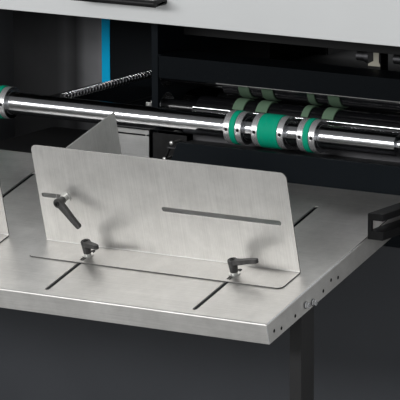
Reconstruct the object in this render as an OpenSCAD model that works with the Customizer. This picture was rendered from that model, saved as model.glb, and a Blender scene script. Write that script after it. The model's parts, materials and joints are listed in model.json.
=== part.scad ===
// Cardboard grooving machine: sloping slotted delivery table to the front (-Y),
// board feed from the back.
// Millimetres, +Z up. The origin lies on the floor under the middle of the whole machine.

/* [Machine body] */
// Clear width between the two side plates
bay_w = 1240; // [1180:10:1400]
// Thickness of the side plates
side_plate_t = 20; // [12:1:30]
// Width of one drive housing outside its side plate
housing_w = 200; // [170:5:260]
// Y of the front face of the machine body
body_front_y = -319; // [-340:1:-300]
// Depth of the machine body
body_d = 719; // [660:1:800]
// Height of the top of the base frame
base_top_z = 160; // [130:5:200]
// Height of the top edge of the side plates and housings
wall_top_z = 1180; // [1180:5:1240]
// Thickness of the sheet metal of housings, doors, hood and panels
sheet_t = 3; // [2:0.5:5]
// Height of the hinged hood
hood_h = 160; // [120:5:220]
// Size of the square tubes of the base frame
base_tube = 80; // [60:5:100]
// Diameter of the pad of a levelling foot
foot_pad_d = 80; // [60:5:100]

/* [Delivery table] */
// Width of the delivery table
table_w = 1286; // [1280:2:1320]
// Depth of the delivery table along its slope
table_d = 545; // [500:5:600]
// Slope of the delivery table in degrees
table_tilt = 15; // [8:1:20]
// Height of the rear top edge of the table
table_rear_z = 901; // [880:1:915]
// Gap between the table and the machine body
table_gap = 4.6; // [2:0.1:8]
// Thickness of the stainless sheet of the table
table_t = 3; // [2:0.5:4]
// Height of the folded lip round the table
table_lip = 40; // [38:1:50]
// Outer radius of the folds of the table
table_fold_r = 4; // [3.5:0.5:8]
// Distance between neighbouring table slots
slot_pitch = 320; // [300:5:330]
// Width of the table slots and of the short fence slots
slot_w = 9; // [8.6:0.1:12]
// Distance from the front edge to the near end of the table slots
slot_front = 18; // [10:1:30]
// Length of the table slots
slot_len = 448; // [400:2:470]
// Diameter of the holes in the side lips
lip_hole_d = 7; // [6.4:0.1:8]
// Section of a table leg across the machine
leg_w = 25; // [20:1:40]
// Section of a table leg along the machine
leg_d = 45; // [40:1:60]

/* [Fences] */
// Width of a fence
fence_w = 554; // [500:2:600]
// Height of a fence above the table
fence_h = 199; // [160:1:240]
// Depth of the folded foot of a fence
fence_foot = 68; // [60:1:90]
// Thickness of the sheet of fences and side guides
fence_t = 2; // [1.5:0.5:3]
// Distance from the front edge of the table to the face of a fence
fence_u = 202; // [170:1:240]
// Running gap between a fence foot and the table
slide_gap = 0.3; // [0.2:0.05:0.6]
// Radius of the upper corners of a fence
fence_corner_r = 12; // [6:1:20]
// Length of the foot slots of a fence
foot_slot_len = 46; // [30:1:50]
// Height of the slots in the upright of a fence
face_slot_h = 97; // [80:1:110]
// Length of the long slot in the upright of a fence
long_slot_len = 256; // [200:2:300]
// Distance from the right end of a fence to its long slot
long_slot_margin = 25; // [15:1:40]
// Length of the short slot in the upright of a fence
short_slot_len = 62; // [50:1:80]
// Distance from the left end of a fence to its short slot
short_slot_margin = 7; // [5:1:20]
// Length of a side guide behind its fence
guide_len = 170; // [120:1:180]
// Distance from the axis of a face lever to its side guide plate
guide_offset = 18; // [14:1:30]

/* [Clamp levers] */
// Length of the arm of a clamp lever
lever_len = 63; // [45:1:68]
// Height of the hub of a clamp lever
lever_h = 30; // [26:1:40]
// Diameter of the hub of a clamp lever
lever_hub_d = 19; // [15:1:24]
// Diameter of the clamping stud
stud_d = 8; // [6:0.5:8]

/* [Delivery shaft] */
// Diameter of the delivery shaft
shaft_d = 45; // [40:1:52]
// Y of the axis of the delivery shaft
shaft_y = -262; // [-270:1:-260]
// Height of the axis of the delivery shaft
shaft_z = 984; // [975:1:990]
// Diameter of the journals in the bearings
journal_d = 30; // [25:1:32]
// Diameter of the split collars
collar_d = 64; // [58:1:64]
// Width of a split collar
collar_w = 14; // [10:0.5:18]
// Diameter of the rubber rings and rollers
ring_d = 66; // [65:1:72]
// Width of a thin rubber ring
ring_w = 12; // [8:0.5:18]
// Width of a wide rubber roller
wide_ring_w = 43; // [30:1:50]

/* [Nip rollers and grooving unit] */
// Height of the board path between the nip rollers
nip_z = 1026; // [1020:1:1030]
// Y of the axes of the nip rollers
nip_y = -180; // [-182:1:-176]
// Diameter of the nip rollers
nip_d = 56; // [50:1:58]
// Height by which the pale bands stand out of the nip rollers
nip_band_h = 3; // [2:0.5:4]
// Board thickness left between the bands
board_t = 2; // [1:0.5:3]
// X of the left end of the nip rollers
nip_left_x = 88; // [60:1:110]
// Diameter of the counter roller under the knives
counter_d = 76; // [60:1:80]
// Y of the knives and of the counter roller axis
knife_y = -96; // [-100:1:-94]
// Thickness of the middle plate
middle_plate_t = 15; // [10:1:20]
// Diameter of the toothed belt pulleys
pulley_d = 70; // [60:1:70]

/* [Hidden] */
$fn = 64;

// Play of a running fit and of a press seat, on the radius
run_play = 0.05;
seat_play = 0.02;
// Length by which a cut runs past the face that it opens
over = 1;

// Places across the machine
bay_half = bay_w / 2;
plate_out = bay_half + side_plate_t;
machine_half = plate_out + housing_w;
body_back_y = body_front_y + body_d;

// Table frame: u runs up the slope, n stands square on the table
table_front_y = body_front_y - table_gap - table_d * cos(table_tilt);
table_front_z = table_rear_z - table_d * sin(table_tilt);
fence_center = slot_pitch;
fence_left = -fence_w / 2;
foot_slot_margin = 7;
stud_u = fence_u - fence_t - fence_foot + foot_slot_margin + foot_slot_len / 2;
face_lever_x = fence_left + short_slot_margin + short_slot_len - slot_w / 2 - 3.5;
fold_r = fence_t + 2;

// Panel at the back of the left bay
inner_panel_y = 200;
inner_panel_t = 6;

// Colours of the real pieces
navy = [0.09, 0.11, 0.14];
cover_grey = [0.5, 0.51, 0.51];
charcoal = [0.16, 0.16, 0.17];
steel = [0.74, 0.73, 0.71];
chrome = [0.85, 0.86, 0.88];
black = [0.05, 0.05, 0.05];
rubber_green = [0.0, 0.55, 0.42];
pale_green = [0.62, 0.72, 0.60];

// Moves children from table coordinates to the machine
module on_table() {
    translate([0, table_front_y, table_front_z]) rotate([table_tilt, 0, 0]) children();
}

// Cylinder along X from x0 to x1 round a point
module rod_x(x0, x1, d, y, z) {
    translate([x0, y, z]) rotate([0, 90, 0]) cylinder(h = x1 - x0, d = d);
}

// Tube along X
module ring_x(x0, x1, d_out, d_in, y, z) {
    difference() {
        rod_x(x0, x1, d_out, y, z);
        rod_x(x0 - over, x1 + over, d_in, y, z);
    }
}

// Box between two corners
module block(low, high) {
    translate(low) cube(high - low);
}

// Flat shape with round ends along X, centred
module slot_shape(length, width) {
    square([length - width, width], center = true);
    for (side = [-1, 1]) {
        translate([side * (length - width) / 2, 0]) circle(d = width);
    }
}

// Rectangle from a corner with chosen corners rounded: near left, near right, far right, far left
module rounded_sheet(w, h, r) {
    difference() {
        square([w, h]);
        for (c = [[0, 0, r[0]], [w, 0, r[1]], [w, h, r[2]], [0, h, r[3]]]) {
            if (c[2] > 0) {
                in_x = c[0] > 0 ? -1 : 1;
                in_y = c[1] > 0 ? -1 : 1;
                translate([c[0], c[1]]) scale_corner(in_x, in_y, c[2]);
            }
        }
    }
}

// Material outside a rounded corner of radius r
module scale_corner(in_x, in_y, r) {
    difference() {
        translate([in_x > 0 ? -over : -r, in_y > 0 ? -over : -r]) square(r + over);
        translate([in_x * r, in_y * r]) circle(r = r);
    }
}

// Frame of the machine

tube_wall = 5;
module base_frame() {
    color(charcoal) difference() {
        block([-machine_half, body_front_y, base_top_z - base_tube], [machine_half, body_back_y, base_top_z]);
        block([-machine_half + base_tube, body_front_y + base_tube, 0],
            [machine_half - base_tube, body_back_y - base_tube, base_top_z + over]);
        difference() {
            block([-machine_half + tube_wall, body_front_y + tube_wall, base_top_z - base_tube - over],
                [machine_half - tube_wall, body_back_y - tube_wall, base_top_z - tube_wall]);
            block([-machine_half + base_tube - tube_wall, body_front_y + base_tube - tube_wall, 0],
                [machine_half - base_tube + tube_wall, body_back_y - base_tube + tube_wall, base_top_z]);
            for (sx = [-1, 1], sy = [0, 1]) {
                translate([sx * foot_x, sy ? foot_back_y : foot_front_y, 0])
                    cylinder(h = base_top_z, d = foot_boss_d);
            }
        }
        for (sx = [-1, 1], y = [foot_front_y, foot_back_y]) {
            translate([sx * foot_x, y, 0])
                cylinder(h = base_top_z - base_tube + foot_stud_in + over, d = foot_stud_d + 2 * seat_play);
        }
    }
}

foot_stud_d = 20;
foot_boss_d = 50;
foot_stud_in = 30;
foot_pad_h = 18;
foot_x = machine_half - base_tube / 2;
foot_front_y = body_front_y + base_tube / 2;
foot_back_y = body_back_y - base_tube / 2;
module levelling_feet() {
    color(black) for (sx = [-1, 1], y = [foot_front_y, foot_back_y]) {
        translate([sx * foot_x, y, 0]) {
            cylinder(h = foot_pad_h, d = foot_pad_d);
            cylinder(h = base_top_z - base_tube + foot_stud_in, d = foot_stud_d);
        }
    }
}

bearing_d = journal_d + 24;
lower_nip_z = nip_z - board_t / 2 - nip_band_h - nip_d / 2;
upper_nip_z = nip_z + board_t / 2 + nip_band_h + nip_d / 2;
counter_z = nip_z - board_t / 2 - counter_d / 2;
bearing_hole_d = bearing_d + 2 * seat_play;
motor_y = 0;
motor_z = 430;
motor_shaft_d = 24;
module plate_holes(x0, x1, with_motor) {
    rod_x(x0, x1, bearing_hole_d, nip_y, lower_nip_z);
    rod_x(x0, x1, bearing_hole_d, nip_y, upper_nip_z);
    rod_x(x0, x1, bearing_hole_d, knife_y, counter_z);
    if (with_motor) {
        rod_x(x0, x1, motor_shaft_d + 12, motor_y, motor_z);
    }
}

module side_plate(x0, x1) {
    difference() {
        block([x0, body_front_y, base_top_z], [x1, body_back_y, wall_top_z]);
        rod_x(x0 - over, x1 + over, bearing_hole_d, shaft_y, shaft_z);
        children();
    }
}

module left_side_plate() {
    color(navy) side_plate(-plate_out, -bay_half);
}

module right_side_plate() {
    color(navy) side_plate(bay_half, plate_out) plate_holes(bay_half - over, plate_out + over, true);
}

// Housing outside a side plate, open to the side where its door hangs
door_t = 21;
door_gap = 1;
pivot_d = 8;
pivot_out = 8;
pivot_x = machine_half - 11;
pivot_y = body_back_y - 11;
door_pan_x = machine_half - door_t;
wall_end_x = pivot_x - norm([pivot_x - door_pan_x, body_back_y - pivot_y]) - door_gap;
module housing(side) {
    mirror([side < 0 ? 1 : 0, 0, 0]) difference() {
        union() {
            block([plate_out, body_front_y, base_top_z], [wall_end_x, body_back_y, wall_top_z]);
            block([plate_out, body_front_y, base_top_z], [machine_half, body_back_y, base_top_z + cap_t]);
            block([plate_out, body_front_y, wall_top_z - cap_t], [machine_half, body_back_y, wall_top_z]);
        }
        block([plate_out - over, body_front_y + sheet_t, base_top_z + cap_t],
            [machine_half + over, body_back_y - sheet_t, wall_top_z - cap_t]);
        translate([pivot_x, pivot_y, base_top_z - over])
            cylinder(h = wall_top_z - base_top_z + 2 * over, d = pivot_d + 2 * run_play);
    }
}

cap_t = 8;
module left_housing() {
    color(charcoal) housing(-1);
}

module right_housing() {
    color(charcoal) housing(1);
}

// Door with folded edges and two pivot pins that run in the housing's floor and roof
door_low_z = base_top_z + cap_t + door_gap;
door_high_z = wall_top_z - cap_t - door_gap;
grip_len = 120;
grip_h = 34;
grip_in = 60;
grip_z = 760;
module door(side) {
    mirror([side < 0 ? 1 : 0, 0, 0]) {
        difference() {
            block([door_pan_x, body_front_y, door_low_z], [machine_half, body_back_y, door_high_z]);
            difference() {
                block([door_pan_x - over, body_front_y + sheet_t, door_low_z + sheet_t],
                    [machine_half - sheet_t, body_back_y - sheet_t, door_high_z - sheet_t]);
                for (z = [door_low_z, door_high_z - pivot_block_h]) {
                    block([door_pan_x, pivot_y - pivot_block_w, z],
                        [machine_half, body_back_y, z + pivot_block_h]);
                }
                block([machine_half - door_t + sheet_t, body_front_y + grip_in - grip_h, grip_z - grip_h],
                    [machine_half, body_front_y + grip_in + grip_len / 2, grip_z + grip_len + grip_h]);
            }
            block([machine_half - door_t + 2 * sheet_t, body_front_y + grip_in, grip_z],
                [machine_half + over, body_front_y + grip_in + grip_h, grip_z + grip_len]);
        }
        for (z = [door_low_z, door_high_z]) {
            translate([pivot_x, pivot_y, z - pivot_out]) cylinder(h = 2 * pivot_out, d = pivot_d);
        }
    }
}

pivot_block_h = 30;
pivot_block_w = 20;
module left_door() {
    color(charcoal) door(-1);
}

module right_door() {
    color(charcoal) door(1);
}

// Upright plate in the middle that carries the inner ends of the rollers
beam_t = 12;
beam_drop = 101;
floor_drop = 8;
bay_floor_z = table_rear_z - floor_drop;
middle_front_y = -214;
middle_half = middle_plate_t / 2;
middle_back_y = inner_panel_y;
module middle_plate() {
    color(navy) difference() {
        union() {
            block([-middle_half, middle_front_y, base_top_z], [middle_half, middle_back_y, wall_top_z]);
            block([-middle_half, body_front_y + beam_t, base_top_z],
                [middle_half, middle_back_y, bay_floor_z - sheet_t]);
        }
        plate_holes(-middle_half - over, middle_half + over, false);
    }
}

// Cross plate behind the table: high on the right with a slanted end, low where the bay is open
beam_h = 154;
beam_low_z = table_rear_z - beam_drop;
beam_high_z = beam_low_z + beam_h;
beam_step_x = 118;
beam_slant = 25;
module lower_beam() {
    step_z = bay_floor_z - sheet_t;
    color(navy) translate([0, body_front_y + beam_t, 0]) rotate([90, 0, 0]) linear_extrude(beam_t)
        polygon([[-bay_half, beam_low_z], [bay_half, beam_low_z], [bay_half, beam_high_z],
            [beam_step_x, beam_high_z], [beam_step_x - beam_slant, step_z], [-bay_half, step_z]]);
}

upper_beam_y = -228;
upper_beam_d = 14;
upper_beam_low_z = 1058;
upper_beam_h = 44;
upper_flange_t = 6;
upper_flange_y = -150;
upper_beam_in = 10;
module upper_beam() {
    high = upper_beam_low_z + upper_beam_h;
    color(navy) {
        block([middle_half + upper_beam_in, upper_beam_y, upper_beam_low_z],
            [bay_half, upper_beam_y + upper_beam_d, high]);
        block([middle_half + upper_beam_in, upper_beam_y, high - upper_flange_t],
            [bay_half, upper_flange_y, high]);
        block([middle_half, upper_beam_y + upper_beam_d, high - upper_flange_t],
            [bay_half, upper_flange_y, high]);
    }
}

module front_panel() {
    color(charcoal) block([-bay_half, body_front_y, base_top_z],
        [bay_half, body_front_y + beam_t, beam_low_z]);
}

// Back wall with the mouth through which boards are fed
mouth_rise = 30;
mouth_high_z = nip_z + mouth_rise;
mouth_margin = 20;
module rear_panel() {
    color(charcoal) difference() {
        block([-bay_half, body_back_y - sheet_t, base_top_z], [bay_half, body_back_y, wall_top_z]);
        block([middle_half + mouth_margin, body_back_y - sheet_t - over, infeed_z - sheet_t],
            [bay_half - mouth_margin, body_back_y + over, mouth_high_z]);
    }
}

// Left bay

floor_left_x = -372;
floor_back_y = -20;
module bay_floor() {
    color(charcoal) block([floor_left_x, body_front_y, bay_floor_z - sheet_t],
        [-middle_half, floor_back_y, bay_floor_z]);
}

chute_y = -236;
chute_left_x = -118;
chute_right_x = 0;
chute_h = 60;
chute_slit_rise = 48;
chute_slit_margin = 18;
chute_high_z = bay_floor_z + chute_h;
chute_slit_z = bay_floor_z + chute_slit_rise;
chute_slit_h = 3;
chute_flange = 30;
// Dark shelf across the bay, behind the delivery shaft
shelf_rise = 57;
shelf_left_x = -400;
shelf_front_y = -60;
shelf_gap = 2;
module bay_shelf() {
    back_y = inner_panel_y - panel_box_d - shelf_gap;
    notch_x = panel_box_right_x + trim_w + shelf_gap;
    color(black) translate([0, 0, bay_floor_z + shelf_rise - sheet_t]) linear_extrude(sheet_t)
        polygon([[shelf_left_x, shelf_front_y], [-middle_half, shelf_front_y], [-middle_half, inner_panel_y],
            [notch_x, inner_panel_y], [notch_x, back_y], [shelf_left_x, back_y]]);
}

module chute_plate() {
    color(steel) difference() {
        union() {
            block([chute_left_x, chute_y, bay_floor_z], [chute_right_x, chute_y + sheet_t, chute_high_z]);
            block([-middle_half - sheet_t, chute_y, bay_floor_z],
                [-middle_half, middle_front_y + chute_flange, chute_high_z]);
        }
        block([chute_left_x + chute_slit_margin, chute_y - over, chute_slit_z],
            [chute_right_x + over, chute_y + sheet_t, chute_slit_z + chute_slit_h]);
    }
}

panel_box_d = 2;
panel_box_right_x = -397;
trim_w = 20;
module inner_panel() {
    color(charcoal) {
        block([-bay_half, inner_panel_y, base_top_z],
            [middle_half, inner_panel_y + inner_panel_t, wall_top_z]);
        block([-bay_half, inner_panel_y - panel_box_d, base_top_z],
            [panel_box_right_x, inner_panel_y, wall_top_z]);
    }
}

module panel_trim() {
    color([0.0, 0.62, 0.85]) block([panel_box_right_x, inner_panel_y - panel_box_d, base_top_z],
        [panel_box_right_x + trim_w, inner_panel_y, wall_top_z]);
}

// Bright ribbed rod standing out of the inner panel, on a dark rail over the bay shelf
rod_place_x = -217;
rod_rise = 104;
rod_z = bay_floor_z + rod_rise;
rod_d = 15;
rod_groove = 1.5;
rod_pitch = 11;
rod_front_y = -214;
rod_flange_d = 30;
rod_flange_t = 6;
rod_rail_t = 4;
rod_rail_gap = 1;
rod_rail_h = rod_rise - shelf_rise - rod_rail_gap;
module ribbed_rod() {
    length = inner_panel_y - rod_front_y;
    grooves = floor((length - rod_flange_t) / rod_pitch) - 1;
    color(chrome) translate([rod_place_x, inner_panel_y, rod_z]) rotate([90, 0, 0]) {
        difference() {
            cylinder(h = length, d = rod_d);
            for (i = [1 : grooves]) {
                translate([0, 0, rod_flange_t + i * rod_pitch])
                    ring_z(rod_pitch / 2, rod_d + 2 * over, rod_d - 2 * rod_groove);
            }
        }
        cylinder(h = rod_flange_t, d = rod_flange_d);
        block([-rod_rail_t / 2, -rod_rail_h, 0], [rod_rail_t / 2, 2 * rod_groove - rod_d / 2, length]);
    }
}

// Tube along Z
module ring_z(h, d_out, d_in) {
    difference() {
        cylinder(h = h, d = d_out);
        translate([0, 0, -over]) cylinder(h = h + 2 * over, d = d_in);
    }
}

// Guide plate that hides the lower half of the lower nip roller
guide_plate_t = 2;
guide_plate_gap = 2;
guide_plate_high_z = nip_z - 18;
guide_plate_low_z = beam_high_z - 16;
guide_plate_y = nip_y - nip_d / 2 - nip_band_h - guide_plate_gap - guide_plate_t;
module guide_plate() {
    color(steel) {
        block([nip_left_x, guide_plate_y, guide_plate_low_z],
            [bay_half, guide_plate_y + guide_plate_t, guide_plate_high_z]);
        block([nip_left_x, body_front_y + beam_t, guide_plate_low_z],
            [bay_half, guide_plate_y + guide_plate_t, guide_plate_low_z + guide_plate_t]);
    }
}

// Delivery table and its supports

module table_blank() {
    intersection() {
        translate([-table_w / 2, 0, 0]) rotate([90, 0, 90]) linear_extrude(table_w)
            translate([0, -table_lip]) rounded_sheet(table_d, table_lip, [0, 0, 0, table_fold_r]);
        translate([-table_w / 2, table_d, -table_lip]) rotate([90, 0, 0]) linear_extrude(table_d)
            rounded_sheet(table_w, table_lip, [0, 0, table_fold_r, table_fold_r]);
    }
}

// Holes of the side lips: level pairs and single holes between them, as places along and below the table
lip_pair = 25;
lip_pair_places = [[33.6, -26.5], [145.2, -29], [239.8, -24.3]];
lip_single_places = [[95.3, -29.4], [197.3, -28.5]];
bolt_place = lip_pair_places[1];
bolt_y = table_front_y + bolt_place[0] * cos(table_tilt) - bolt_place[1] * sin(table_tilt);
bolt_z = table_front_z + bolt_place[0] * sin(table_tilt) + bolt_place[1] * cos(table_tilt);
module lip_holes() {
    for (p = lip_pair_places, s = [-1, 1]) {
        translate([0, p[0], p[1]]) rotate([-table_tilt, 0, 0])
            rod_x(-table_w / 2 - over, table_w / 2 + over, lip_hole_d, s * lip_pair / 2, 0);
    }
    for (p = lip_single_places) {
        rod_x(-table_w / 2 - over, table_w / 2 + over, lip_hole_d, p[0], p[1]);
    }
}

module delivery_table() {
    rear_y = body_front_y - table_gap;
    color(steel) difference() {
        on_table() difference() {
            table_blank();
            block([-table_w / 2 + table_t, table_t, -table_lip - over],
                [table_w / 2 - table_t, table_d + over, -table_t]);
            for (i = [-1.5, -0.5, 0.5, 1.5]) {
                translate([i * slot_pitch, slot_front + slot_len / 2, -table_t - over]) rotate(90)
                    linear_extrude(table_t + 2 * over) slot_shape(slot_len, slot_w);
            }
            lip_holes();
        }
        block([-table_w, rear_y, 0], [table_w, rear_y + table_lip, table_rear_z + over]);
    }
}

// Two hollow legs under the table with a low cross tube and foot plates
leg_out_x = table_w / 2 - table_t;
leg_wall = 2.5;
leg_top_z = bolt_z + 12;
cross_z = 120;
leg_plate_w = 90;
leg_plate_t = 8;
module table_legs() {
    color(navy) difference() {
        union() {
            for (side = [-1, 1]) {
                mirror([side < 0 ? 1 : 0, 0, 0]) {
                    block([leg_out_x - leg_w, bolt_y - leg_d / 2, 0],
                        [leg_out_x, bolt_y + leg_d / 2, leg_top_z]);
                    block([leg_out_x - leg_w / 2 - leg_plate_w / 2, bolt_y - leg_plate_w / 2, 0],
                        [leg_out_x - leg_w / 2 + leg_plate_w / 2, bolt_y + leg_plate_w / 2, leg_plate_t]);
                }
            }
            block([-leg_out_x + leg_w / 2, bolt_y - leg_d / 2, cross_z],
                [leg_out_x - leg_w / 2, bolt_y + leg_d / 2, cross_z + leg_d]);
        }
        for (side = [-1, 1]) {
            mirror([side < 0 ? 1 : 0, 0, 0])
                block([leg_out_x - leg_w + leg_wall, bolt_y - leg_d / 2 + leg_wall,
                    cross_z + leg_d + leg_wall],
                    [leg_out_x - leg_wall, bolt_y + leg_d / 2 - leg_wall, leg_top_z + over]);
        }
        for (s = [-1, 1]) {
            rod_x(-table_w / 2, table_w / 2, lip_hole_d, bolt_y + s * lip_pair / 2, bolt_z);
        }
    }
}

// Hexagon bolts through the side lips into the legs
bolt_d = 6;
bolt_head_d = 11.5;
bolt_head_h = 6;
bolt_nut_h = 5;
washer_d = 14;
washer_t = 1.5;
module table_bolts() {
    color(chrome) for (side = [-1, 1], s = [-1, 1]) {
        mirror([side < 0 ? 1 : 0, 0, 0]) translate([table_w / 2, bolt_y + s * lip_pair / 2, bolt_z])
        rotate([0, 90, 0]) {
            cylinder(h = washer_t, d = washer_d);
            translate([0, 0, washer_t]) cylinder(h = bolt_head_h, d = bolt_head_d, $fn = 6);
            translate([0, 0, -table_t - leg_w - bolt_nut_h]) {
                cylinder(h = table_t + leg_w + bolt_nut_h + bolt_head_h, d = bolt_d);
                cylinder(h = bolt_nut_h, d = bolt_head_d, $fn = 6);
            }
        }
    }
}

// Black side arms from the housings along the table edge
arm_w = 33;
arm_len = 176;
arm_drop = 50;
arm_low_z = table_rear_z - arm_drop;
arm_h = 49;
arm_bar_h = 17;
arm_top_t = 13;
arm_post_w = 8;
arm_post_d = 9;
arm_root_t = 10;
module table_brackets() {
    x0 = table_w / 2;
    front = body_front_y - arm_len;
    color(black) for (side = [-1, 1]) {
        mirror([side < 0 ? 1 : 0, 0, 0]) {
            block([x0, front, arm_low_z], [x0 + arm_w, body_front_y, arm_low_z + arm_bar_h]);
            block([x0, front, arm_low_z + arm_h - arm_top_t], [x0 + arm_w, body_front_y, arm_low_z + arm_h]);
            block([x0, front, arm_low_z], [x0 + arm_post_w, front + arm_post_d, arm_low_z + arm_h]);
            block([x0, body_front_y - arm_root_t, arm_low_z], [x0 + arm_w, body_front_y, arm_low_z + arm_h]);
        }
    }
}

// Rollers, shafts and drive

pulley_w = 24;
pulley_x = plate_out + 20;
pulley_flange_d = pulley_d + 6;
pulley_flange_t = 2;
shaft_end_play = 2;
pulley_end_x = pulley_x + pulley_w + pulley_flange_t + shaft_end_play;

// Pulley with two flanges along X, bored for its shaft
module pulley(y, z) {
    rod_x(pulley_x, pulley_x + pulley_w, pulley_d, y, z);
    for (x = [pulley_x - pulley_flange_t, pulley_x + pulley_w]) {
        rod_x(x, x + pulley_flange_t, pulley_flange_d, y, z);
    }
}

module bearing(x0, x1, y, z) {
    ring_x(x0, x1, bearing_d, journal_d + 2 * run_play, y, z);
}

module shaft_bearings() {
    color(chrome) {
        bearing(-plate_out, -bay_half, shaft_y, shaft_z);
        bearing(bay_half, plate_out, shaft_y, shaft_z);
        for (x = [[-middle_half, middle_half], [bay_half, plate_out]]) {
            bearing(x[0], x[1], nip_y, lower_nip_z);
            bearing(x[0], x[1], nip_y, upper_nip_z);
            bearing(x[0], x[1], knife_y, counter_z);
        }
    }
}

shoulder_in = 42;
module delivery_shaft() {
    color(chrome) {
        rod_x(-bay_half + shoulder_in, bay_half - shoulder_in, shaft_d, shaft_y, shaft_z);
        rod_x(-plate_out, pulley_end_x, journal_d, shaft_y, shaft_z);
        pulley(shaft_y, shaft_z);
    }
}

// Groups of collar, ring and collar along the shaft: centre and width of the rubber
ring_sets = [[225.5, ring_w], [304, wide_ring_w], [389.5, ring_w],
    [-325, ring_w], [-404, wide_ring_w], [-489, ring_w]];
collar_screw_d = 6;
module shaft_collars() {
    color(chrome) for (s = ring_sets, side = [-1, 1]) {
        x = s[0] + side * (s[1] + collar_w) / 2;
        difference() {
            ring_x(x - collar_w / 2, x + collar_w / 2, collar_d, shaft_d + 2 * seat_play, shaft_y, shaft_z);
            translate([x, shaft_y, shaft_z]) rotate([90, 0, 0]) cylinder(h = collar_d, d = collar_screw_d);
        }
    }
}

module rings_of_width(w) {
    for (s = ring_sets) {
        if (s[1] == w) {
            ring_x(s[0] - w / 2, s[0] + w / 2, ring_d, shaft_d + 2 * seat_play, shaft_y, shaft_z);
        }
    }
}

module drive_rings() {
    color(rubber_green) rings_of_width(ring_w);
}

module drive_rollers() {
    color(rubber_green) rings_of_width(wide_ring_w);
}

// Pale bands on the nip rollers: left end and width
bands = [[173.5, 25], [226, 26], [328.5, 16], [374.5, 26]];
// Distance by which the upper bands stand to the right of the lower ones
upper_band_shift = 15;
nip_right_x = bay_half - 12;
upper_nip_left_x = nip_left_x + 62;
module nip_roller(z, left_end, right_end) {
    rod_x(left_end, nip_right_x, nip_d, nip_y, z);
    rod_x(-middle_half, right_end, journal_d, nip_y, z);
}

module nip_bands(z, shift) {
    for (b = bands) {
        ring_x(b[0] + shift, b[0] + b[1] + shift, nip_d + 2 * nip_band_h, nip_d + 2 * seat_play, nip_y, z);
    }
}

module lower_nip_roller() {
    color(black) {
        nip_roller(lower_nip_z, nip_left_x, pulley_end_x);
        pulley(nip_y, lower_nip_z);
    }
}

module lower_nip_bands() {
    color(pale_green) nip_bands(lower_nip_z, 0);
}

module upper_nip_roller() {
    color(black) nip_roller(upper_nip_z, upper_nip_left_x, plate_out);
}

module upper_nip_bands() {
    color(pale_green) nip_bands(upper_nip_z, upper_band_shift);
}

module counter_roller() {
    color(chrome) {
        rod_x(nip_left_x, nip_right_x, counter_d, knife_y, counter_z);
        rod_x(-middle_half, pulley_end_x, journal_d, knife_y, counter_z);
        pulley(knife_y, counter_z);
    }
}

// Knife beam over the counter roller with its holders and knives
knife_beam_low_z = 1128;
knife_beam_h = 40;
knife_beam_d = 50;
knife_places = [434.5, 516.5];
holder_w = 29;
holder_d = 30;
holder_low_z = 1046;
knife_t = 3;
knife_w = 18;
knife_gap = 1;
knob_d = 26;
knob_h = 10;
knurl_d = 19;
knurl_h = 20;
knob_z = 1115;
module knife_beam() {
    color([0.55, 0.56, 0.58]) block([middle_half, knife_y - knife_beam_d / 2, knife_beam_low_z],
        [bay_half, knife_y + knife_beam_d / 2, knife_beam_low_z + knife_beam_h]);
}

module knife_holders() {
    color([0.8, 0.8, 0.76]) for (x = knife_places) {
        difference() {
            block([x - holder_w / 2, knife_y - holder_d / 2, holder_low_z],
                [x + holder_w / 2, knife_y + holder_d / 2, knife_beam_low_z]);
            block([x - knife_t / 2, knife_y - knife_w / 2, holder_low_z - over],
                [x + knife_t / 2, knife_y + knife_w / 2, holder_low_z + knife_in]);
        }
        rod_x(x - holder_w / 2 - knob_h, x - holder_w / 2, knob_d, knife_y, knob_z);
        rod_x(x - holder_w / 2 - knob_h - knurl_h, x - holder_w / 2 - knob_h, knurl_d, knife_y, knob_z);
    }
}

knife_in = 30;
module grooving_knives() {
    color(steel) for (x = knife_places) {
        translate([x - knife_t / 2, 0, 0]) rotate([90, 0, 90]) linear_extrude(knife_t)
            polygon([[knife_y - knife_w / 2, holder_low_z + knife_in], [knife_y - knife_w / 2, holder_low_z],
                [knife_y, nip_z - board_t / 2 + knife_gap], [knife_y + knife_w / 2, holder_low_z],
                [knife_y + knife_w / 2, holder_low_z + knife_in]]);
    }
}

motor_d = 150;
motor_len = 190;
motor_fin = 6;
motor_plate_w = 170;
motor_plate_t = 12;
module drive_motor() {
    color([0.25, 0.3, 0.36]) difference() {
        motor_body();
        rod_x(bay_half - motor_bore_in, bay_half + over, motor_shaft_d + 2 * run_play, motor_y, motor_z);
    }
}

module motor_body() {
    union() {
        rod_x(bay_half - motor_plate_t - motor_len, bay_half - motor_plate_t, motor_d, motor_y, motor_z);
        block([bay_half - motor_plate_t, motor_y - motor_plate_w / 2, motor_z - motor_plate_w / 2],
            [bay_half, motor_y + motor_plate_w / 2, motor_z + motor_plate_w / 2]);
        for (a = [0 : 30 : 330]) {
            translate([bay_half - motor_plate_t - motor_len + motor_fin, motor_y, motor_z]) rotate([a, 0, 0])
                translate([0, -motor_fin / 2, 0])
                    cube([motor_len - 4 * motor_fin, motor_fin, motor_d / 2 + motor_fin]);
        }
    }
}

motor_bore_in = 40;
module motor_pulley() {
    color(charcoal) {
        pulley(motor_y, motor_z);
        rod_x(bay_half - motor_bore_in + shaft_end_play, pulley_end_x, motor_shaft_d, motor_y, motor_z);
    }
}

belt_t = 4;
belt_play = 0.4;
belt_side_play = 1.5;
module belt_outline(d) {
    hull() {
        for (p = [[shaft_y, shaft_z], [nip_y, lower_nip_z], [knife_y, counter_z], [motor_y, motor_z]]) {
            translate(p) circle(d = d);
        }
    }
}

module drive_belt() {
    color(black) translate([pulley_x + belt_side_play, 0, 0]) rotate([90, 0, 90])
        linear_extrude(pulley_w - 2 * belt_side_play) difference() {
            belt_outline(pulley_d + 2 * belt_play + 2 * belt_t);
            belt_outline(pulley_d + 2 * belt_play);
        }
}

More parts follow.
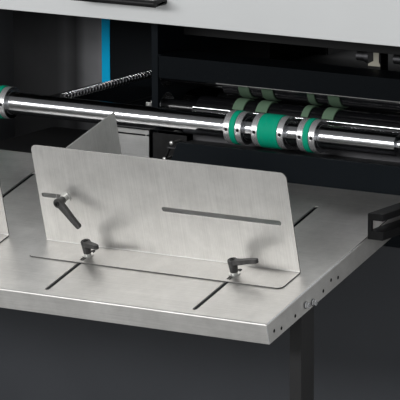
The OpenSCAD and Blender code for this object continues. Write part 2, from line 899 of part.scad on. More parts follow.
// Infeed table at the back with two gussets
infeed_d = 449;
infeed_left_x = middle_half + mouth_margin;
infeed_right_x = bay_half - mouth_margin;
feed_bed_y = -50;
infeed_lip = 40;
infeed_z = nip_z - 10;
gusset_w = 30;
gusset_t = 6;
gusset_h = 260;
gusset_margin = 90;
module infeed_table() {
    color(steel) {
        difference() {
            block([infeed_left_x, body_back_y, infeed_z - infeed_lip],
                [infeed_right_x, body_back_y + infeed_d, infeed_z]);
            block([infeed_left_x + sheet_t, body_back_y + sheet_t, infeed_z - infeed_lip - over],
                [infeed_right_x - sheet_t, body_back_y + infeed_d - sheet_t, infeed_z - sheet_t]);
        }
        block([infeed_left_x, body_back_y - sheet_t, infeed_z - sheet_t],
            [infeed_right_x, body_back_y, infeed_z]);
        block([middle_half, feed_bed_y, infeed_z - sheet_t], [bay_half, body_back_y - sheet_t, infeed_z]);
        for (x = [infeed_left_x + gusset_margin, infeed_right_x - gusset_margin]) {
            translate([x - gusset_t / 2, 0, 0]) rotate([90, 0, 90]) linear_extrude(gusset_t)
                polygon([[body_back_y, infeed_z - sheet_t], [body_back_y, infeed_z - sheet_t - gusset_h],
                    [body_back_y + gusset_w, infeed_z - sheet_t - gusset_h],
                    [body_back_y + infeed_d - gusset_w, infeed_z - infeed_lip],
                    [body_back_y + infeed_d - gusset_w, infeed_z - sheet_t]]);
        }
    }
}

// Hinged hood over the bay

hood_gap = 1;
hood_back_gap = 1;
hood_half = plate_out - 1;
hood_low_z = wall_top_z + hood_gap;
hood_slope_d = 120;
hood_slope_h = 55;
hinge_y = body_back_y + 11;
hinge_z = hood_low_z + 6;
hinge_r = 8;
hinge_pin_d = 8;
hinge_x = 480;
hinge_len = 40;
hinge_ear = 24;
hinge_gap = 0.5;
leaf_t = 4;
leaf_h = 40;
module hood_outline(inset) {
    y0 = body_front_y + inset;
    y1 = body_back_y - hood_back_gap - inset;
    top = hood_low_z + hood_h - inset;
    low = hood_low_z - (inset > 0 ? over : 0);
    polygon([[y0, low], [y0, top - hood_slope_h], [y0 + hood_slope_d, top], [y1, top], [y1, low]]);
}

module hood() {
    color(cover_grey) difference() {
        union() {
            difference() {
                translate([-hood_half, 0, 0]) rotate([90, 0, 90])
                    linear_extrude(2 * hood_half) hood_outline(0);
                translate([-hood_half + sheet_t, 0, 0]) rotate([90, 0, 90])
                    linear_extrude(2 * (hood_half - sheet_t)) hood_outline(sheet_t);
            }
            for (side = [-1, 1]) {
                x = side * hinge_x;
                rod_x(x - hinge_len / 2, x + hinge_len / 2, 2 * hinge_r, hinge_y, hinge_z);
                block([x - hinge_len / 2, body_back_y - hood_back_gap, hinge_z],
                    [x + hinge_len / 2, body_back_y + leaf_t, hinge_z + leaf_h]);
            }
        }
        for (side = [-1, 1]) {
            rod_x(side * hinge_x - hinge_len, side * hinge_x + hinge_len, hinge_pin_d + 2 * run_play,
                hinge_y, hinge_z);
        }
    }
}

// Hinge leaves on the back wall with their pins
module hood_hinges() {
    color(charcoal) for (side = [-1, 1]) {
        x = side * hinge_x;
        for (ear = [-1, 1]) {
            x0 = x + ear * (hinge_len / 2 + hinge_gap + hinge_ear / 2) - hinge_ear / 2;
            rod_x(x0, x0 + hinge_ear, 2 * hinge_r, hinge_y, hinge_z);
            block([x0, body_back_y, hinge_z - leaf_h], [x0 + hinge_ear, body_back_y + leaf_t, hinge_z]);
        }
        block([x - hinge_len / 2 - hinge_ear, body_back_y, hinge_z - leaf_h],
            [x + hinge_len / 2 + hinge_ear, body_back_y + leaf_t, hinge_z - hinge_r - 2]);
        rod_x(x - hinge_len / 2 - hinge_ear, x + hinge_len / 2 + hinge_ear, hinge_pin_d, hinge_y, hinge_z);
    }
}

// Bow handle on the front of the hood
handle_len = 180;
handle_d = 14;
handle_out = 40;
handle_rise = 45;
handle_z = hood_low_z + handle_rise;
module hood_handle() {
    color(black) {
        rod_x(-handle_len / 2 - handle_d / 2, handle_len / 2 + handle_d / 2, handle_d,
            body_front_y - handle_out, handle_z);
        for (side = [-1, 1]) {
            translate([side * handle_len / 2, body_front_y, handle_z]) rotate([90, 0, 0])
                cylinder(h = handle_out, d = handle_d);
        }
    }
}

// Control box on the right housing, with a sloping face

control_x0 = plate_out + 20;
control_x1 = machine_half - 14;
control_y0 = body_front_y + 20;
control_d = 150;
control_h = 110;
control_lip = 30;
control_slope = 60;
control_wall = 3;
button_d = 22;
button_play = 0.4;
button_out = 5;
button_in = 26;
stop_head_d = 40;
stop_head_h = 12;
stop_neck_h = 12;
face_run = (control_h - control_lip) / tan(control_slope);
control_mid_x = (control_x0 + control_x1) / 2;
button_spread = 46;
// Moves children to the sloping face: z stands out of the face
module on_control_face(dx) {
    translate([control_mid_x + dx, control_y0 + face_run / 2, wall_top_z + (control_lip + control_h) / 2])
        rotate([control_slope, 0, 0]) children();
}

module control_outline(inset) {
    polygon([[control_y0 + inset, wall_top_z + inset],
        [control_y0 + inset, wall_top_z + control_lip - inset * tan((90 - control_slope) / 2)],
        [control_y0 + face_run + inset * tan(control_slope / 2), wall_top_z + control_h - inset],
        [control_y0 + control_d - inset, wall_top_z + control_h - inset],
        [control_y0 + control_d - inset, wall_top_z + inset]]);
}

module control_box() {
    color(charcoal) difference() {
        translate([control_x0, 0, 0]) rotate([90, 0, 90])
            linear_extrude(control_x1 - control_x0) control_outline(0);
        translate([control_x0 + control_wall, 0, 0]) rotate([90, 0, 90])
            linear_extrude(control_x1 - control_x0 - 2 * control_wall) control_outline(control_wall);
        for (dx = [-button_spread, 0, button_spread]) {
            on_control_face(dx) translate([0, 0, -3 * control_wall])
                cylinder(h = 6 * control_wall, d = button_d + 2 * button_play);
        }
    }
}

module push_button(dx) {
    on_control_face(dx) translate([0, 0, -button_in]) cylinder(h = button_in + button_out, d = button_d);
}

module start_button() {
    color([0.1, 0.6, 0.25]) push_button(-button_spread);
}

module stop_button() {
    color([0.75, 0.1, 0.1]) push_button(0);
}

module emergency_stop() {
    color([0.8, 0.08, 0.06]) on_control_face(button_spread) {
        translate([0, 0, -button_in]) cylinder(h = button_in + stop_neck_h, d = button_d);
        translate([0, 0, stop_neck_h]) cylinder(h = stop_head_h, d = stop_head_d);
    }
}

// Fences, their guides and levers, in table coordinates with x from the middle of the fence

foot_n = slide_gap;
face_u = fence_u;
module at_fence(side) {
    on_table() translate([side * fence_center, 0, 0]) children();
}

// Upright and foot joined by a fold
module fence(side) {
    at_fence(side) {
        translate([fence_left, face_u, foot_n + fold_r]) rotate([90, 0, 0])
        linear_extrude(fence_t) difference() {
            rounded_sheet(fence_w, fence_h - fold_r, [0, 0, fence_corner_r, fence_corner_r]);
            translate([short_slot_margin + short_slot_len / 2, face_slot_h - fold_r])
                slot_shape(short_slot_len, slot_w);
            translate([fence_w - long_slot_margin - long_slot_len / 2, face_slot_h - fold_r])
                slot_shape(long_slot_len, slot_w);
        }
        translate([fence_left, face_u - fold_r, foot_n + fold_r]) rotate([90, 0, 90])
            rotate_quarter(fence_w);
        translate([fence_left, face_u - fence_t - fence_foot, foot_n]) linear_extrude(fence_t) difference() {
            rounded_sheet(fence_w, fence_foot + fence_t - fold_r, [fence_corner_r, fence_corner_r, 0, 0]);
            for (i = [-0.5, 0.5]) {
                translate([-fence_left + i * slot_pitch, stud_u - face_u + fence_t + fence_foot]) rotate(90)
                    slot_shape(foot_slot_len, slot_w);
            }
        }
    }
}

// Quarter tube of the fold, standing along its third axis
module rotate_quarter(length) {
    linear_extrude(length) intersection() {
        difference() {
            circle(r = fold_r);
            circle(r = fold_r - fence_t);
        }
        translate([0, -fold_r]) square(fold_r);
    }
}

nut_d = 16;
nut_h = 8;
module clamp_nuts(side) {
    at_fence(side) for (i = [-0.5, 0.5]) {
        translate([i * slot_pitch, stud_u, -table_t - slide_gap - nut_h]) difference() {
            cylinder(h = nut_h, d = nut_d, $fn = 6);
            translate([0, 0, -over]) cylinder(h = nut_h + 2 * over, d = stud_d + 2 * run_play);
        }
    }
}

// Plate square to the fence, with a flange and a weld nut behind the short slot
guide_low_n = foot_n + 1.2;
flange_w = 40;
weld_nut_h = 8;
module side_guide(side) {
    x0 = face_lever_x + guide_offset;
    back = face_u + slide_gap;
    at_fence(side) difference() {
        union() {
            block([x0 - fence_t, back, guide_low_n], [x0, back + guide_len, foot_n + fence_h]);
            block([x0 - flange_w, back, face_slot_h - flange_w / 2],
                [x0, back + fence_t, face_slot_h + flange_w / 2]);
            translate([face_lever_x, back + fence_t, foot_n + face_slot_h]) rotate([-90, 0, 0])
                cylinder(h = weld_nut_h, d = nut_d, $fn = 6);
        }
        translate([face_lever_x, back - over, foot_n + face_slot_h]) rotate([-90, 0, 0])
            cylinder(h = weld_nut_h + fence_t + 2 * over, d = stud_d + 2 * run_play);
    }
}

// Adjustable clamp lever standing on z = 0, its arm turned by angle about z
lever_washer_d = 22;
lever_washer_t = 2;
lever_washer_gap = 0.1;
lever_tip_d = 10;
lever_rise = 14;
module clamp_lever(angle, stud_len) {
    rotate(angle) {
        translate([0, 0, -stud_len]) cylinder(h = stud_len + lever_washer_t, d = stud_d);
        translate([0, 0, lever_washer_gap])
            cylinder(h = lever_washer_t - lever_washer_gap, d = lever_washer_d);
        translate([0, 0, lever_washer_t])
            cylinder(h = lever_h - lever_washer_t, d1 = lever_hub_d - 5, d2 = lever_hub_d);
        translate([0, 0, lever_h]) cylinder(h = 2, d = lever_hub_d - 7);
        hull() {
            translate([0, 0, lever_h - lever_tip_d]) cylinder(h = lever_tip_d, d = lever_hub_d - 4, $fn = 32);
            translate([lever_len - lever_tip_d / 2, 0, lever_h + lever_rise - lever_tip_d])
                cylinder(h = lever_tip_d, d = lever_tip_d, $fn = 32);
        }
    }
}

foot_stud_len = fence_t + slide_gap + table_t + slide_gap + nut_h + 4;
module foot_lever(side, place, angle) {
    color(black) at_fence(side) translate([place * slot_pitch, stud_u, foot_n + fence_t])
        clamp_lever(angle, foot_stud_len);
}

face_stud_len = fence_t + slide_gap + fence_t + weld_nut_h + 2;
module face_lever(side, angle) {
    color(black) at_fence(side) translate([face_lever_x, face_u - fence_t, foot_n + face_slot_h])
        rotate([90, 0, 0]) clamp_lever(angle, face_stud_len);
}

module right_fence() {
    color(steel) fence(1);
}

module left_fence() {
    color(steel) fence(-1);
}

module right_clamp_nuts() {
    color(chrome) clamp_nuts(1);
}

module left_clamp_nuts() {
    color(chrome) clamp_nuts(-1);
}

module right_side_guide() {
    color(steel) side_guide(1);
}

module left_side_guide() {
    color(steel) side_guide(-1);
}

module right_outer_lever() {
    foot_lever(1, 0.5, -10);
}

module right_inner_lever() {
    foot_lever(1, -0.5, -36);
}

module right_face_lever() {
    face_lever(1, -38);
}

module left_outer_lever() {
    foot_lever(-1, -0.5, -36);
}

module left_inner_lever() {
    foot_lever(-1, 0.5, -10);
}

module left_face_lever() {
    face_lever(-1, -38);
}

base_frame();
levelling_feet();
left_side_plate();
right_side_plate();
left_housing();
right_housing();
middle_plate();
lower_beam();
upper_beam();
front_panel();
rear_panel();
bay_floor();
bay_shelf();
chute_plate();
inner_panel();
panel_trim();
ribbed_rod();
guide_plate();
delivery_table();
table_legs();
table_bolts();
table_brackets();
shaft_bearings();
knife_beam();
knife_holders();
grooving_knives();
infeed_table();
drive_motor();
drive_belt();
hood_hinges();
control_box();
delivery_shaft();
shaft_collars();
drive_rings();
drive_rollers();
lower_nip_roller();
lower_nip_bands();
upper_nip_roller();
upper_nip_bands();
counter_roller();
motor_pulley();
hood();
hood_handle();
left_door();
right_door();
start_button();
stop_button();
emergency_stop();
right_fence();
right_clamp_nuts();
right_side_guide();
right_outer_lever();
right_inner_lever();
right_face_lever();
left_fence();
left_clamp_nuts();
left_side_guide();
left_outer_lever();
left_inner_lever();
left_face_lever();
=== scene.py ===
"""Looks of a cardboard grooving machine: a sloping slotted delivery table with fences and clamp levers,
a delivery shaft with rubber rings, nip rollers, cross beams, and the hood, doors and base around them."""

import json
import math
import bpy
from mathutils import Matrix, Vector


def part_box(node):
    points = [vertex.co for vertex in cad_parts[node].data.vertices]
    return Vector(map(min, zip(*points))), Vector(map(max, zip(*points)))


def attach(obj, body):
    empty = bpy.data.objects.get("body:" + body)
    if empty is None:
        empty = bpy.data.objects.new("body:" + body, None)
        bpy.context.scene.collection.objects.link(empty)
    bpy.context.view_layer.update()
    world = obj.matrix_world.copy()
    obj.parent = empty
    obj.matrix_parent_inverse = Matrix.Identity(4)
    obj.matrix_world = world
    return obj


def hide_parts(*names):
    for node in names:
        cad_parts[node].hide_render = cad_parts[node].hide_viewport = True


bl_info = {
    "name": "Cardboard grooving machine",
    "version": (1, 0, 0),
    "blender": (4, 5, 0),
    "location": "View3D > Sidebar > Grooving machine",
    "description": "Dresses the packed grooving machine with finished pieces and procedural finishes",
    "category": "Object",
}

import bmesh
import bpy
from bpy.props import FloatProperty, FloatVectorProperty, PointerProperty
from mathutils import Matrix, Vector

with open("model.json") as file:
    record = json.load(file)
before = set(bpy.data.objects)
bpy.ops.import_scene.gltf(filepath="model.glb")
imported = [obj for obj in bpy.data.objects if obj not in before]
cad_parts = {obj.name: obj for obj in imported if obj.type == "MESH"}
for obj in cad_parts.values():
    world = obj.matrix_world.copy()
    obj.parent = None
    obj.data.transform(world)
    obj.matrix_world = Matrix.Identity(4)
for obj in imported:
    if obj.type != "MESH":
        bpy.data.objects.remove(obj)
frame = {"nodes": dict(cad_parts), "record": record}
NODES = frame["nodes"]
BODY_OF = {n: b for b, names in frame["record"]["behaviour"]["bodies"].items() for n in names}
SLOT_OF = {s["node"]: s["material_slot"] for s in frame["record"]["subparts"]}
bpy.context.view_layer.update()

# All lengths are in metres. On the table x runs along its front edge, y up the slope and z off the sheet.
TILT = math.radians(15.0)
TABLE = Matrix.Translation((0.0, -0.85003, 0.75994)) @ Matrix.Rotation(TILT, 4, "X")
TABLE_HALF = 0.6430
FENCE_X = 0.320
LEVER_ARM = 0.0630
SHAFT_Y, SHAFT_Z = -0.262, 0.984
# Middle and width of each green ring along the shaft, with a collar on either side of it.
RING_SETS = ((0.2255, 0.012), (0.304, 0.043), (0.3895, 0.012), (-0.325, 0.012), (-0.404, 0.043), (-0.489, 0.012))
COLLAR_WIDTH = 0.014
# Holes of a side lip: y and z on the table.
LIP_HOLES = ((0.04567, -0.02974), (0.02153, -0.02326), (0.0953, -0.0294), (0.1973, -0.0285),
             (0.25187, -0.02754), (0.22773, -0.02106))
# Sloping front of the control box: its normal, and its distance along that normal.
BOX_FACING = Vector((0.0, -0.8660, 0.5))
BOX_FACE = Vector((0.743, -0.2759, 1.250)).dot(BOX_FACING)
# Places across the inner panel, with the share of its palest tone at each, and the left edge of the trim. These bands
# of tone are painted light and shade on the wall.
PANEL_TONES = ((-0.62, 0.24), (-0.51, 0.22), (-0.488, 0.36), (-0.462, 0.19), (-0.450, 0.42), (-0.437, 0.75),
               (-0.398, 1.0))
TRIM_X = -0.385
# Turns in degrees; lens and sensor in millimetres.
CAMERA_PLACE = (4.57805, -7.30828, 2.48371)
CAMERA_HEADING, CAMERA_PITCH, CAMERA_ROLL = 32.24, 90.0 - 11.21, -0.2
CAMERA_LENS, CAMERA_SENSOR = 394.2, 36.0
FLOOR_HALF = 14.0
# Name, place, target, width, height and watts of each lamp.
LAMPS = (
    ("front_strip", (-2.0, -6.3, 2.90), (-0.3, 0.0, 1.0), 5.0, 1.1, 246.0),
    ("side_light", (5.0, -4.0, 2.4), (0.3, -0.3, 0.8), 2.4, 2.4, 25.0),
    ("top_light", (-1.0, 1.5, 4.6), (-0.2, -0.6, 0.6), 6.0, 4.0, 46.0),
)


# ---------------------------------------------------------------- finishes


class Value:
    """A shader socket that takes part in Python sums; each sum adds its Math node."""

    def __init__(self, finish, socket):
        self.finish = finish
        self.socket = socket

    def sum(self, operation, first, second):
        return self.finish.node("ShaderNodeMath", {"operation": operation}, {0: first, 1: second})

    def __add__(self, other):
        return self.sum("ADD", self, other)

    def __radd__(self, other):
        return self.sum("ADD", other, self)

    def __sub__(self, other):
        return self.sum("SUBTRACT", self, other)

    def __rsub__(self, other):
        return self.sum("SUBTRACT", other, self)

    def __mul__(self, other):
        return self.sum("MULTIPLY", self, other)

    def __rmul__(self, other):
        return self.sum("MULTIPLY", other, self)


class Nodes:
    """Adds nodes to a shader tree."""

    def __init__(self, tree):
        self.tree = tree

    def node(self, kind, settings=None, inputs=None, output=0):
        """Adds a node: its settings first, then the values or links of its sockets."""
        made = self.tree.nodes.new(kind)
        for key, value in (settings or {}).items():
            if key == "stops":
                self.set_stops(made.color_ramp, value)
            else:
                setattr(made, key, value)
        for key, value in (inputs or {}).items():
            self.feed(made.inputs[key], value)
        return Value(self, made.outputs[output])

    def feed(self, socket, value):
        if isinstance(value, Value):
            self.tree.links.new(value.socket, socket)
        else:
            socket.default_value = value

    @staticmethod
    def set_stops(ramp, stops):
        while len(ramp.elements) < len(stops):
            ramp.elements.new(0.5)
        for element, (position, colour) in zip(ramp.elements, stops):
            element.position = position
            element.color = colour

    def step(self, value, low, high, to_low=0.0, to_high=1.0):
        return self.node("ShaderNodeMapRange", {"interpolation_type": "SMOOTHSTEP"},
                         {"Value": value, "From Min": low, "From Max": high, "To Min": to_low, "To Max": to_high})

    def axis(self, vector, name):
        return self.node("ShaderNodeSeparateXYZ", None, {"Vector": vector}, name)


class Finish(Nodes):
    """A procedural material, read from Object coordinates."""

    def __init__(self, name, plain):
        self.material = bpy.data.materials.new(name)
        self.material.use_nodes = True
        super().__init__(self.material.node_tree)
        self.shader = self.tree.nodes["Principled BSDF"]
        for socket, value in plain.items():
            self.shader.inputs[socket].default_value = value
        self.place = self.node("ShaderNodeTexCoord", output="Object")

    def noise(self, size, detail=2.0, roughness=0.5, turn=(0.0, 0.0, 0.0)):
        """Noise whose grains have that size in metres along each axis."""
        vector = self.node("ShaderNodeMapping", {"vector_type": "TEXTURE"},
                           {"Vector": self.place, "Rotation": turn, "Scale": size})
        return self.node("ShaderNodeTexNoise", {"noise_dimensions": "3D"},
                         {"Vector": vector, "Scale": 1.0, "Detail": detail, "Roughness": roughness})

    def mix(self, factor, first, second):
        return self.node("ShaderNodeMix", {"data_type": "RGBA"}, {0: factor, 6: first, 7: second}, 2)

    def bump(self, height, strength, distance):
        self.feed(self.shader.inputs["Normal"], self.node(
            "ShaderNodeBump", None, {"Height": height, "Strength": strength, "Distance": distance}, "Normal"))

    def colour(self, value):
        self.feed(self.shader.inputs["Base Color"], value)

    def roughness(self, value):
        self.feed(self.shader.inputs["Roughness"], value)


def even(size):
    return (size, size, size)


def shade_of(colour, factor):
    return tuple(c * factor for c in colour[:3]) + (1.0,)


def brushed_steel(name, colour, grain, turn=(0.0, 0.0, 0.0), rough=0.42, metal=1.0):
    """Brushed sheet: long fine streaks along the grain, hand marks and faint clouds."""
    f = Finish(name, {"Metallic": metal})
    lines = f.noise(tuple(0.09 if g else 0.00055 for g in grain), 3.0, 0.65, turn)
    broad = f.noise(tuple(0.30 if g else 0.0026 for g in grain), 3.0, 0.6, turn)
    cloud = f.noise(even(0.085), 4.0, 0.6)
    smear = f.noise(even(0.018), 4.0, 0.65)
    tone = lines * 0.42 + broad * 0.10 + cloud * 0.32 + smear * 0.16
    f.colour(f.mix(f.step(tone, 0.36, 0.64), shade_of(colour, 0.82), shade_of(colour, 1.10)))
    f.roughness(rough - 0.13 + lines * 0.10 + cloud * 0.12 + smear * 0.06)
    f.bump(lines * 0.9 + broad * 0.08 + smear * 0.05, 0.30, 0.0006)
    return f.material


def turned_steel(name, colour, rough=0.14):
    """Ground round bar: fine rings around the X axis, a little oil haze."""
    f = Finish(name, {"Metallic": 1.0})
    rings = f.noise((0.0007, 0.09, 0.09), 3.0, 0.6)
    haze = f.noise(even(0.035), 3.0, 0.6)
    f.colour(f.mix(haze, shade_of(colour, 0.88), shade_of(colour, 1.04)))
    f.roughness(rough - 0.05 + rings * 0.08 + haze * 0.07)
    f.bump(rings, 0.06, 0.0004)
    return f.material


def sheet_paint(name, colour, rough=0.42, gloss=0.35, peel=0.10, dust=0.10, spread=0.13):
    """Sprayed metal: orange peel, a thin film of dust, slight change of tone."""
    f = Finish(name, {"Specular IOR Level": gloss})
    skin = f.noise(even(0.0016), 2.0, 0.5)
    cloud = f.noise(even(0.16), 3.0, 0.55)
    speck = f.noise(even(0.0045), 3.0, 0.7)
    tone = f.mix(cloud, shade_of(colour, 1.0 - spread), shade_of(colour, 1.0 + spread))
    film = f.step(speck, 0.55, 0.80) * f.step(cloud, 0.35, 0.75) * dust
    f.colour(f.mix(film, tone, shade_of([c + 0.10 for c in colour[:3]], 1.0)))
    f.roughness(rough - 0.07 + cloud * 0.10 + speck * 0.06)
    f.bump(skin * 0.7 + speck * 0.3, peel, 0.0005)
    return f.material


def grained_coat(name, colour, rough=0.45, gloss=0.4, grain=0.0011, depth=0.35):
    """Black powder coat with a fine pebble grain and rubbed high spots."""
    f = Finish(name, {"Specular IOR Level": gloss})
    fine = f.node("ShaderNodeMapping", {"vector_type": "TEXTURE"}, {"Vector": f.place, "Scale": even(grain)})
    pebble = f.node("ShaderNodeTexVoronoi", {"feature": "F1"}, {"Vector": fine, "Scale": 1.0}, "Distance")
    rub = f.noise(even(0.012), 3.0, 0.6)
    f.colour(f.mix(f.step(rub, 0.40, 0.75), shade_of(colour, 0.85), shade_of(colour, 1.6)))
    f.roughness(rough - 0.05 + rub * 0.12)
    f.bump(pebble, depth, 0.0002)
    return f.material


def ground_rubber(name, colour, rough=0.62, wear=0.16):
    """Ground polyurethane or rubber: fine lathe marks, scuffs and paper dust."""
    f = Finish(name, {"Specular IOR Level": 0.12})
    marks = f.noise((0.0009, 0.02, 0.02), 2.0, 0.6)
    pores = f.noise(even(0.0009), 2.0, 0.6)
    scuff = f.noise((0.004, 0.016, 0.016), 3.0, 0.6)
    pale = tuple(min(1.0, c * 0.8 + 0.10) for c in colour[:3])
    f.colour(f.mix(f.step(scuff, 0.45, 0.80) * wear, f.mix(marks, shade_of(colour, 0.88), shade_of(colour, 1.10)),
                   shade_of(pale, 1.0)))
    f.roughness(rough - 0.06 + scuff * 0.14)
    f.bump(marks * 0.5 + pores * 0.5, 0.18, 0.0003)
    return f.material


def cast_metal(name, colour, rough=0.42, metal=0.85):
    """Machined light metal: satin with a fine tooth."""
    f = Finish(name, {"Metallic": metal})
    tooth = f.noise(even(0.0012), 3.0, 0.6)
    cloud = f.noise(even(0.05), 2.0, 0.5)
    f.colour(f.mix(cloud, shade_of(colour, 0.85), shade_of(colour, 1.08)))
    f.roughness(rough - 0.06 + tooth * 0.10 + cloud * 0.06)
    f.bump(tooth, 0.15, 0.0003)
    return f.material


def moulded_plastic(name, colour, rough=0.26):
    """Glossy moulded cap with faint handling marks."""
    f = Finish(name, {"Specular IOR Level": 0.5})
    skin = f.noise(even(0.0012), 2.0, 0.5)
    touch = f.noise(even(0.009), 3.0, 0.6)
    f.colour(f.mix(touch, shade_of(colour, 0.90), shade_of(colour, 1.08)))
    f.roughness(rough - 0.05 + touch * 0.14)
    f.bump(skin, 0.05, 0.0003)
    return f.material


def toned_panel(name, dark, tones):
    """Inner wall of the bay: grey paint in upright bands of tone that are painted light and shade, and near black
    right of the trim as painted shade.
    """
    f = Finish(name, {"Specular IOR Level": 0.12})
    across = f.axis(f.place, "X")
    cloud = f.noise(even(0.12), 3.0, 0.55)
    skin = f.noise(even(0.0018), 2.0, 0.5)
    first, last = tones[0][0], tones[-1][0]
    stops = [((x - first) / (last - first), shade_of((grey, grey * 1.01, grey * 1.05), 1.0)) for x, grey in tones]
    bands = f.node("ShaderNodeValToRGB", {"stops": stops}, {0: f.node(
        "ShaderNodeMapRange", None, {"Value": across, "From Min": first, "From Max": last})})
    worn = f.mix(f.step(cloud, 0.3, 0.7, 0.0, 0.25), bands, dark)
    f.colour(f.mix(f.step(across, TRIM_X - 0.001, TRIM_X + 0.001), worn, dark))
    f.roughness(0.46 + cloud * 0.12)
    f.bump(skin, 0.08, 0.0005)
    return f.material


FINISHES = {
    "stainless": lambda name, c: brushed_steel(name, c.stainless, (1, 0, 0), (TILT, 0.0, 0.0), 0.43, 0.95),
    "stainless_upright": lambda name, c: brushed_steel(name, c.stainless, (0, 0, 1), (TILT, 0.0, 0.0), 0.44),
    "guide_steel": lambda name, c: brushed_steel(name, c.stainless, (0, 0, 1), (TILT, 0.0, 0.0), 0.5, 0.4),
    "chute_steel": lambda name, c: brushed_steel(name, (0.43, 0.43, 0.425), (1, 0, 0)),
    "dull_steel": lambda name, c: brushed_steel(name, (0.10, 0.10, 0.105), (1, 0, 0), rough=0.5),
    "navy_paint": lambda name, c: sheet_paint(name, c.navy, 0.5, 0.07),
    # Frame paint darkened to 0.6 for the upper beam: painted shade.
    "beam_paint": lambda name, c: sheet_paint(name, shade_of(c.navy, 0.6), 0.5, 0.05),
    "cover_paint": lambda name, c: sheet_paint(name, c.cover, 0.42, 0.4, dust=0.04, spread=0.035),
    "charcoal_paint": lambda name, c: sheet_paint(name, c.charcoal, 0.45, 0.2),
    "front_paint": lambda name, c: sheet_paint(name, (0.036, 0.039, 0.045), 0.42, 0.25),
    "plate_paint": lambda name, c: sheet_paint(name, (0.16, 0.165, 0.175), 0.5, 0.15),
    # Near-black coat of the infeed table. It is also used as painted shade on the underside of the hood.
    "feed_coat": lambda name, c: ground_rubber(name, (0.007, 0.0073, 0.008), 0.75, 0.03),
    "pale_plate": lambda name, c: sheet_paint(name, (0.42, 0.40, 0.33), 0.5, 0.2),
    "black_gloss": lambda name, c: sheet_paint(name, (0.003, 0.003, 0.0035), 0.16, 0.4, 0.03, 0.05),
    "grey_panel": lambda name, c: toned_panel(name, shade_of(c.navy, 0.8), [
        (x, grey * c.panel[0]) for x, grey in PANEL_TONES]),
    "blue_trim": lambda name, c: sheet_paint(name, c.trim, 0.4, 0.2, dust=0.03),
    "polished_steel": lambda name, c: turned_steel(name, c.chrome),
    "black_metal": lambda name, c: grained_coat(name, c.black, 0.42, 0.22),
    "lever_coat": lambda name, c: grained_coat(name, c.lever, 0.42, 0.4, 0.0014, 0.6),
    "green_rubber": lambda name, c: ground_rubber(name, c.green),
    "pale_rubber": lambda name, c: ground_rubber(name, c.pale, 0.7),
    "shaded_rubber": lambda name, c: ground_rubber(name, shade_of(c.pale, 0.5), 0.6),
    "dark_roller": lambda name, c: sheet_paint(name, (0.006, 0.006, 0.007), 0.2, 0.45, 0.03, 0.03),
    "tool_steel": lambda name, c: brushed_steel(name, (0.45, 0.45, 0.46), (0, 1, 0)),
    "collar_steel": lambda name, c: cast_metal(name, (0.76, 0.76, 0.77), 0.26, 0.72),
    "motor_paint": lambda name, c: sheet_paint(name, (0.06, 0.08, 0.11), 0.4, 0.4),
    "belt_rubber": lambda name, c: ground_rubber(name, (0.012, 0.012, 0.012), 0.75, 0.05),
    "green_button": lambda name, c: moulded_plastic(name, (0.01, 0.28, 0.06)),
    "red_button": lambda name, c: moulded_plastic(name, (0.50, 0.012, 0.010)),
    "zinc": lambda name, c: cast_metal(name, (0.62, 0.62, 0.60), 0.30),
    # Dark steel for the cut edges of fences and guides: a painted reflection of the dark surroundings those edges
    # face.
    "cut_edge": lambda name, c: brushed_steel(name, (0.16, 0.16, 0.155), (1, 0, 0), rough=0.5),
    "yellow_plastic": lambda name, c: moulded_plastic(name, (0.75, 0.45, 0.01), 0.4),
    # Black coat of screws. It is also used as painted shade in the lip holes, the foot slots and the bolt sockets,
    # and around the bolt heads.
    "screw_black": lambda name, c: grained_coat(name, (0.008, 0.008, 0.008), 0.4, 0.3, 0.0006, 0.15),
}
MADE = {}


def finish(name):
    """The finish of that name, made when it is first asked for."""
    if name not in MADE:
        MADE[name] = FINISHES[name](name, bpy.context.scene.machine.colours)
    return MADE[name]


# ---------------------------------------------------------------- shapes


def piece(name, bm, finish_name, body, slot, *replaced, crease=35.0):
    """Makes an object at the origin from the bmesh, smooth between its creases, riding on the body."""
    mesh = bpy.data.meshes.new(name)
    bm.to_mesh(mesh)
    bm.free()
    mesh.shade_smooth()
    mesh.set_sharp_from_angle(angle=math.radians(crease))
    mesh.materials.append(finish(finish_name))
    made = bpy.data.objects.new(name, mesh)
    bpy.context.scene.collection.objects.link(made)
    flats = made.modifiers.new("even_flats", "WEIGHTED_NORMAL")
    flats.keep_sharp = True
    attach(made, body)
    if replaced:
        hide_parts(*replaced)
    return made


def merged_copy(node):
    """A copy of a CAD node's mesh with its doubles merged and its flat faces joined."""
    bm = bmesh.new()
    bm.from_mesh(NODES[node].data)
    bmesh.ops.remove_doubles(bm, verts=bm.verts, dist=4e-6)
    bmesh.ops.dissolve_limit(bm, angle_limit=math.radians(0.4), verts=bm.verts, edges=bm.edges)
    return bm


def soften(bm, width, segments=2, least=38.0):
    """Rounds every edge sharper than the least angle."""
    sharp = [e for e in bm.edges if len(e.link_faces) == 2 and e.calc_face_angle(0.0) > math.radians(least)]
    bmesh.ops.bevel(bm, geom=sharp, offset=width, offset_type="OFFSET", segments=segments, profile=0.5,
                    affect="EDGES", clamp_overlap=False, material=-1)


def softened(node, finish_name, width, segments=2):
    """A finished copy of a CAD node, its edges rounded, standing for that node."""
    bm = merged_copy(node)
    soften(bm, width, segments)
    return piece(node + "_finished", bm, finish_name, BODY_OF[node], SLOT_OF[node], node)


def two_tone(made, finish_name, wanted):
    """Gives the wanted faces of a piece one more finish."""
    made.data.materials.append(finish(finish_name))
    index = len(made.data.materials) - 1
    for face in made.data.polygons:
        if wanted(face.normal, face.center):
            face.material_index = index


